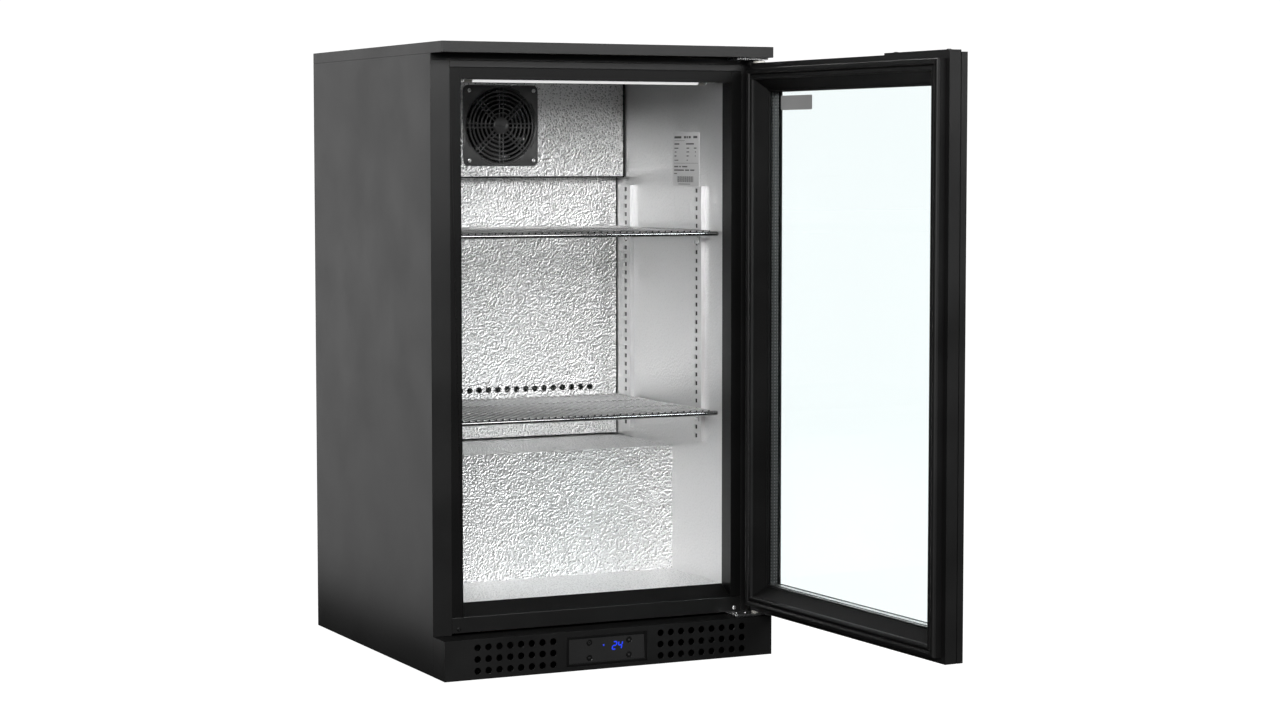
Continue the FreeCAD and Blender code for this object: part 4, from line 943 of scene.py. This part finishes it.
def door():
    """The glazed door: its frame, mouldings, panes and fittings."""
    eased("door_frame", PROFILE, 0.5 * MM)
    eased("door_top_plate", PROFILE, 0.5 * MM)
    # the inner frame's section, with its sloping face and rounded lip round the glass
    trim = [
        (8, 27.1),
        (8, 36),
        (23.6, 36),
        (24.4, 35.0),
        (38.0, 21.6),
        *arc_points((39.4, 20.6), (1.6, 1.5), 150, 0, 5),
        (41, 19.1),
        (28.1, 19.1),
        (28.1, 27.1),
    ]
    moulding("door_inner_frame_moulding", trim, 0.3 * MM, TRIM, "door_inner_frame")
    # the gasket's section: a wide hollow lobe and a narrow one
    bellows = [
        (8.1, 36.1),
        *arc_points((12.3, 38.4), (3.9, 3.1), 180, 0, 10),
        (16.5, 37.3),
        *arc_points((20.1, 38.0), (3.4, 2.4), 180, 0, 8),
        (23.9, 36.9),
        (23.9, 36.1),
    ]
    moulding("door_gasket_bellows", bellows, 0.12 * MM, RUBBER, "door_gasket")
    dressed("door_glass", GLASS)
    dressed("glass_spacer", SPACER)
    dressed("hinge_bushes", NYLON)
    pane_sticker()


cabinet_shell()
interior()
machine_room()
screws()
fan_guard()
shade_gap_strips()
slot_shade_sheets()
lamp_caps()
dressed("lamp_diffuser", LAMP)
dressed("lamp_channel", ALUMINIUM)
dressed("rating_label", LABEL)
label_print()
controller()
door()


# ---------------------------------------------------------------- the stage


def backdrop(glow):
    """A white floor, as bright by itself as the world behind it."""
    half, level = 30.0, -0.5 * MM
    signs = ((-1, -1), (1, -1), (1, 1), (-1, 1))
    mesh = bpy.data.meshes.new("floor")
    mesh.from_pydata([(half * x, half * y, level) for x, y in signs], [], [(0, 1, 2, 3)])
    floor = bpy.data.objects.new("floor", mesh)
    bpy.context.scene.collection.objects.link(floor)
    shader = Shader("pale_floor", specular=0.1)
    shader.feed(shader.tones(shader.noise(0.8), grey(0.0), grey(0.01)), "Base Color")
    shader.set("Roughness", 0.8)
    shader.set("Emission Color", (1.0, 1.0, 1.0, 1.0))
    shader.set("Emission Strength", glow)
    mesh.materials.append(shader.material)
    floor.visible_glossy = False
    floor.visible_diffuse = False


def studio_world(seen, lighting):
    """White all round as the camera sees it, and dimmer as a light."""
    world = bpy.data.worlds.new("studio")
    world.use_nodes = True
    bpy.context.scene.world = world
    tree = world.node_tree
    ray = tree.nodes.new("ShaderNodeLightPath")
    level = tree.nodes.new("ShaderNodeMapRange")
    level.inputs["To Min"].default_value = lighting
    level.inputs["To Max"].default_value = seen
    tree.links.new(ray.outputs["Is Camera Ray"], level.inputs["Value"])
    tree.links.new(level.outputs["Result"], tree.nodes["Background"].inputs["Strength"])
    tree.nodes["Background"].inputs["Color"].default_value = (1.0, 1.0, 1.0, 1.0)


def soft_light(name, place, target, size, watts, size_y=None):
    """A soft box that faces target: square, or size by size_y."""
    data = bpy.data.lights.new(name, "AREA")
    data.energy = watts
    data.size = size
    if size_y:
        data.shape = "RECTANGLE"
        data.size_y = size_y
    light = bpy.data.objects.new(name, data)
    light.visible_camera = False
    light.location = place
    light.rotation_mode = "QUATERNION"
    light.rotation_quaternion = (Vector(target) - Vector(place)).to_track_quat("-Z", "Y")
    bpy.context.scene.collection.objects.link(light)


def sky_light(strength):
    """An even light from straight above."""
    data = bpy.data.lights.new("overhead", "SUN")
    data.energy = strength
    data.angle = math.radians(40)
    light = bpy.data.objects.new("overhead", data)
    bpy.context.scene.collection.objects.link(light)


def camera(place, yaw, pitch, lens):
    """The camera stands left of the object's front, a little under the worktop's height."""
    data = bpy.data.cameras.new("camera")
    data.sensor_width = 36.0
    data.lens = lens
    data.clip_end = 200.0
    made = bpy.data.objects.new("camera", data)
    yaw, pitch = math.radians(yaw), math.radians(pitch)
    toward = Vector(
        (math.sin(yaw) * math.cos(pitch), math.cos(yaw) * math.cos(pitch), math.sin(pitch))
    )
    made.location = place
    made.rotation_mode = "QUATERNION"
    made.rotation_quaternion = toward.to_track_quat("-Z", "Y")
    bpy.context.scene.collection.objects.link(made)
    bpy.context.scene.camera = made


def lamp_light():
    """The light of the strip lamp over the door opening, thrown down into the cabinet."""
    low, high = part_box("lamp_diffuser")
    middle = (low + high) / 2
    place = Vector((middle.x, middle.y, low.z - 1 * MM))
    down_and_back = Vector((0, 0.25, -1))
    soft_light("strip_lamp", place, place + down_and_back, high.x - low.x, 0.05, 6 * MM)


# the floor and the world just past the top of the range, so that both come out white
WHITE = 1.06

backdrop(WHITE)
studio_world(WHITE, 0.04)
soft_light("key", (-1.3, -3.1, 1.66), (0, -0.1, 0.5), 1.1, 104, 1.3)
soft_light("right", (1.4, -3.9, 2.0), (0, -0.2, 0.6), 2.4, 70, 1.3)
soft_light("left_back", (-1.9, 3.9, 1.2), (-0.2, 0, 0.5), 1.5, 14, 2.6)
soft_light("left_floor", (-1.35, 1.6, 0.01), (-1.35, 1.6, 1.0), 1.9, 12, 3.4)
soft_light("right_back", (2.2, 2.4, 1.8), (0.2, 0, 0.5), 1.6, 60)
sky_light(1.3)
lamp_light()
camera((-1.628, -3.7105, 0.714), yaw=25.81, pitch=-4.14, lens=78.3)
bpy.context.scene.view_settings.view_transform = "Standard"

bpy.context.view_layer.update()
